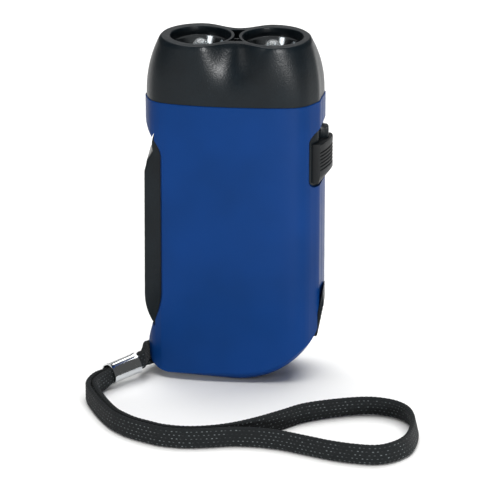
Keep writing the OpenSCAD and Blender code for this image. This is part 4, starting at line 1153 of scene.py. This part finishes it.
switch = {
    "low": 61,  # mm, the knob at rest
    "high": 73,
    # the ribbed face from above, X and Y from its front corner; it looks right and a little to the front
    "face": [(24.75, -6), (25.2, -5.2), (25.75, -4.2), (26.4, -2.6), (27.1, -0.6), (27.6, 1.4),
             (27.85, 3.2), (27.9, 4.6), (27.6, 5.5)],
    "flank": (23.4, 6.2),
    "back": (22.2, 6.05),
    "chin": 2.1,  # how far the foot of the face is drawn in
    "chinSteps": [(0, 1), (0.15, 0.9), (1.9, 0.12), (2.3, 0)],  # mm up from the foot, share of the chin
    "chinShare": (0.2, 0.16),  # share at the front corner, and its growth to each next point of the face
    "brow": [(0.5, 0), (0.15, 0.12), (0, 0.4)],  # mm down from the top, and how far drawn in
    "ribs": 6,
    "ribPitch": 1.06,
    "ribTop": 2.5,  # from the top to the first groove
    "groove": 0.35,
    "grooveHalf": (0.36, 0.18),  # at its mouth and at its floor
    "hollow": (26.9, 0.45, 3.95),  # room for the rail, X and the two sides
    "hollowUp": 2,
    "rail": (26.75, 0.6, 3.8, 66.4, 76.5),  # X, the two sides and the heights
    "railCorner": 1.1,
    "railRoot": 1.6,  # X from the notch
    "railEdge": 0.3,
    "bezelGap": 0.1,  # between the bezel and the notch
    "bezelEdge": 0.25,
    "sink": 0.6,  # how far the bezel lies below the casing's side
    "heights": (40, 100),  # past both ends of the notch
    "play": 0.15,
    "stemAt": 67.2,
    "stem": (1.5, 2),
    "stemFoot": -1.3,  # X from the notch
    "stemLong": 5.5,
    "slotOut": 60,  # X past the casing's side
    "travel": 3,
}


def mouldBezel():
    s = switch
    obj = prism("switchBezel", ovalSection(s["sink"]), *s["heights"], True)
    carve(obj, prism("notchFill", notchOutline(s["bezelGap"]), -clear, clear), "INTERSECT")
    out, near, far, low, high = s["rail"]
    r = s["railCorner"]
    inner = switchNotch["x"] + s["railRoot"]
    corner = arc((out - r, high - r), r, 0, 90, 5)
    rail = prism("rail", [(inner, low), (out, low)] + corner + [(inner, high)], near, far)
    carve(obj, soften(rail, s["railEdge"], 3, 40), "UNION")
    half, rise = s["stem"]
    gap = s["play"] * 2
    carve(obj, block("stemSlot", (0, -half - gap, s["stemAt"] - rise - gap),
                     (s["slotOut"], half + gap, s["stemAt"] + rise + s["travel"] + gap)))
    return soften(obj, s["bezelEdge"], 2, 40)


def knobRing(cut, groove):
    # the face seen from above: cut draws it in, most at the rear, and groove sinks all but its corners
    s = switch
    last = len(s["face"]) - 1
    first, more = s["chinShare"]
    ring = []
    for i, (x, y) in enumerate(s["face"]):
        ribbed = groove if 0 < i < last else 0
        ring.append((x - cut * min(first + more * i, 1) - ribbed, y))
    (x, y), (back, side) = s["flank"], s["back"]
    return ring + [(x, y), (back, side), (back, -side), (x, -y)]


def mouldKnob():
    # levels from below: a sloped chin, ribs with grooves between them, and a rounded brow
    s = switch
    low, high, deep = s["low"], s["high"], s["groove"]
    levels = [(low + rise, share * s["chin"], 0) for rise, share in s["chinSteps"]]
    mouth, floor = s["grooveHalf"]
    for i in reversed(range(s["ribs"])):
        z = high - s["ribTop"] - s["ribPitch"] * i
        levels += [(z - mouth, 0, 0), (z - floor, 0, deep), (z + floor, 0, deep), (z + mouth, 0, 0)]
    levels += [(high - drop, cut, 0) for drop, cut in s["brow"]]
    obj = riseRings("switchKnob", [(z, knobRing(cut, groove)) for z, cut, groove in levels])
    carve(obj, prism("seat", ovalSection(s["sink"] - s["play"]), *s["heights"], True))
    out, near, far = s["hollow"]
    carve(obj, block("hollow", (0, near, low + s["hollowUp"]), (out, far, s["heights"][1])))
    half, rise = s["stem"]
    foot = switchNotch["x"] + s["stemFoot"]
    stem = block("stem", (foot, -half, s["stemAt"] - rise),
                 (foot + s["stemLong"], half, s["stemAt"] + rise))
    return carve(obj, stem, "UNION")


finishPiece(mouldBezel(), blackPlastic, "black_plastic", "casing", "switch_bezel")
finishPiece(mouldKnob(), knobPlastic, "black_plastic", "switch", "switch_slider")
print("switch moulded")


# lever lock: plate outside, neck through the slot, bar and tooth inside

def mouldLock():
    s = lockPlate
    bend = s["long"] - s["bend"]
    thick = s["thick"]
    notches = []
    for i in reversed(range(s["serrations"])):
        z = bend - s["notchEnd"] - s["pitch"] * i
        notches += [(0, z - s["pitch"] / 2), (-s["notch"], z - s["pitch"] / 4), (0, z)]
    plate = [(-thick, 0), (-s["toe"], 0), (0, s["toe"])] + notches
    plate += [(0, bend), (s["tip"] - thick, s["long"]), (-thick, s["long"])]
    obj = prism("lockSlide", tilted(plate), -s["wide"] / 2, s["wide"] / 2)
    soften(obj, s["edge"], 2, 25)
    inner = -thick - s["under"] - s["shelf"]
    back = inner - s["footThick"]
    neck = rectangle(back, s["neckLow"], s["neckRoot"] - thick, s["footHigh"])
    carve(obj, prism("neck", tilted(neck), -s["neckHalf"], s["neckHalf"]), "UNION")
    foot = rectangle(back, s["footLow"], inner - s["under"], s["footHigh"])
    carve(obj, prism("foot", tilted(foot), -s["footHalf"], s["footHalf"]), "UNION")
    arm = [(s["at"][0] + s["armAt"] + x, z) for x, z in s["arm"]]
    left, right = (pivot[0] + x for x in s["tooth"])
    top = s["toothTop"]
    bar = [(left, arm[0][1])] + arm + [(right, arm[-1][1]), (right, top), (left, top)]
    return carve(obj, prism("bar", bar, -s["barHalf"], s["barHalf"]), "UNION")


finishPiece(mouldLock(), blackPlastic, "black_plastic", "lock", "lock_slide")
print("lock moulded")


# casing screws with a cross recess, sunk in the rear shell

screw = {
    "head": 1.9,  # mm, radius
    "headTall": 1.5,
    "crown": [(0, 0.6), (0.25, 0.87), (0.8, 1)],  # mm in from the edge, share of the height
    "shank": 0.95,
    "reach": 12,
    "point": 1.2,
    "recess": 0.8,
    "slotWide": 0.55,
    "slotLong": 2.2,
    "turns": (20, 65, 40, 5),  # degrees at which each was left
}


def turnScrews():
    s = screw
    tall, shank, reach = s["headTall"], s["shank"], s["reach"]
    profile = [(0, -reach), (shank / 2, -reach), (shank, s["point"] - reach), (shank, 0), (s["head"], 0)]
    profile += [(s["head"] - x, tall * share) for x, share in s["crown"]] + [(0, tall)]
    first = lathe("casingScrews", profile, steps=40)
    top, deep = tall + 1, tall - s["recess"]
    long, wide = s["slotLong"] / 2, s["slotWide"] / 2
    carve(first, block("slotA", (-long, -wide, deep), (long, wide, top)))
    carve(first, block("slotB", (-wide, -long, deep), (wide, long, top)))
    places, seat = posts["casing"]["at"], posts["casing"]["sink"][1]
    copies = [first] + [twin(first, "screwCopy") for _ in places[1:]]
    for copy, (x, z), turn in zip(copies, places, s["turns"]):
        lie = Matrix.Rotation(-math.pi / 2, 4, "X") @ Matrix.Rotation(math.radians(turn), 4, "Z")
        copy.data.transform(Matrix.Translation(Vector((x, seat, z)) * mm) @ lie)
    return joined("casingScrews", copies)


finishPiece(turnScrews(), steelPlain, "steel", "casing", "casing_screws")
print("screws turned")


# materials of what stays as the frame made it, mostly inside

def solderMask():
    # glass fibre board under green solder mask: the weave shows faintly
    material, tree, shader = newMaterial("solderMaskGreen", "#1B5C36", 0.35)
    place = addNode(tree, "ShaderNodeTexCoord", {}).outputs["Object"]
    cloth = {"Vector": place, "Scale": perMetre(1.2), "Color1": linear("#1A5833"),
             "Color2": linear("#1F663C"), "Mortar": linear("#174F2E")}
    addNode(tree, "ShaderNodeTexBrick", cloth, shader.inputs["Base Color"])
    return material


def mottled(name, colour, other, roughness, metallic, size):
    # cast, moulded or wound stock: two close tones in patches of the given size
    material, tree, shader = newMaterial(name, colour, roughness, metallic)
    place = addNode(tree, "ShaderNodeTexCoord", {}).outputs["Object"]
    patch = addNode(tree, "ShaderNodeTexNoise", {"Vector": place, "Scale": perMetre(size), "Detail": 4})
    tone = addNode(tree, "ShaderNodeValToRGB", {"Fac": patch.outputs["Fac"]}, shader.inputs["Base Color"])
    tone.color_ramp.elements[0].color = linear(colour)
    tone.color_ramp.elements[1].color = linear(other)
    addNode(tree, "ShaderNodeBump",
            {"Height": patch.outputs["Fac"], "Strength": 0.2, "Distance": 0.03 * mm},
            shader.inputs["Normal"])
    return material


def enamelledCopper():
    # enamelled copper wire, 0.3 mm thick, wound turn on turn; drawn 1.9 mm wide so that the turns show,
    # with painted shade in the grooves between turns and a painted highlight on each turn's crest
    material, tree, shader = newMaterial("enamelledCopper", "#A65A2C", 0.28, 1)
    place = addNode(tree, "ShaderNodeTexCoord", {}).outputs["Object"]
    turns = addNode(tree, "ShaderNodeTexWave",
                    {"Vector": place, "Scale": perMetre(0.3) / 20, "Distortion": 0.3}, bands_direction="Z")
    # painted shade and highlight: dark copper in the grooves between turns, bright copper on their crests
    tone = addNode(tree, "ShaderNodeValToRGB", {"Fac": turns.outputs["Fac"]}, shader.inputs["Base Color"])
    tone.color_ramp.elements[0].color = linear("#6E3416")
    tone.color_ramp.elements[1].color = linear("#C0703A")
    addNode(tree, "ShaderNodeBump",
            {"Height": turns.outputs["Fac"], "Strength": 0.6, "Distance": 0.15 * mm},
            shader.inputs["Normal"])
    return material


inside = {
    "circuit_board": solderMask(),
    "steel": steelPlain,
    "brass": platedMetal("turnedBrass", "#C79A4B", 0.25, 0.25, 0.01),
    "white_plastic": mottled("acetalCream", "#E3DCC4", "#EAE4D0", 0.45, 0, 2.5),
    "stator_iron": mottled("siliconSteel", "#4A4B4F", "#5C5E62", 0.5, 0.8, 0.8),
    "copper_wire": enamelledCopper(),
    "component_black": mottled("epoxyMouldBlack", "#0E0F10", "#17191A", 0.4, 0, 0.7),
}
slotOf = {part["node"]: part["material_slot"] for part in frame["record"]["subparts"]}
for name, node in frame["nodes"].items():
    if not node.hide_render:
        node.data.materials.clear()
        node.data.materials.append(inside[slotOf[name]])
print("inner materials given")


# studio: pale floor, white surroundings and soft lights

studio = {
    "floorColour": "#F6F6F5",
    "floorSize": 6,  # m
    "world": 0.1,  # strength of the white surroundings
    "aim": (0, 0, 0.05),  # m, where the lights look
    "lights": [  # name, place in m, size in m, watts
        ("topSoftbox", (0.0, 0.25, 1.3), (1.6, 1.6), 31),
        ("keySoftbox", (0.55, -1.18, 0.16), (0.14, 0.14), 15),
        ("fillSoftbox", (-0.9, -1.1, 0.6), (0.5, 0.5), 3),
        ("backSoftbox", (0.0, 1.7, 0.66), (1.4, 0.5), 1.4),
    ],
}


def setStudio(s):
    bpy.ops.object.select_all(action="DESELECT")
    bpy.ops.mesh.primitive_plane_add(size=s["floorSize"])
    floor = bpy.context.object
    floor.name = "floor"
    floor.data.materials.append(newMaterial("backgroundPaper", s["floorColour"], 0.9)[0])
    for name, place, size, watts in s["lights"]:
        bpy.ops.object.light_add(type="AREA", location=place)
        light = bpy.context.object
        light.name = name
        light.data.shape = "RECTANGLE"
        light.data.size, light.data.size_y = size
        light.data.energy = watts
        light.rotation_mode = "QUATERNION"
        light.rotation_quaternion = (Vector(s["aim"]) - Vector(place)).to_track_quat("-Z", "Y")
    world = bpy.data.worlds.new("studio")
    world.use_nodes = True
    world.node_tree.nodes["Background"].inputs["Color"].default_value = (1, 1, 1, 1)
    world.node_tree.nodes["Background"].inputs["Strength"].default_value = s["world"]
    bpy.context.scene.world = world
    bpy.context.scene.view_settings.view_transform = "Standard"


setStudio(studio)
print("studio set")
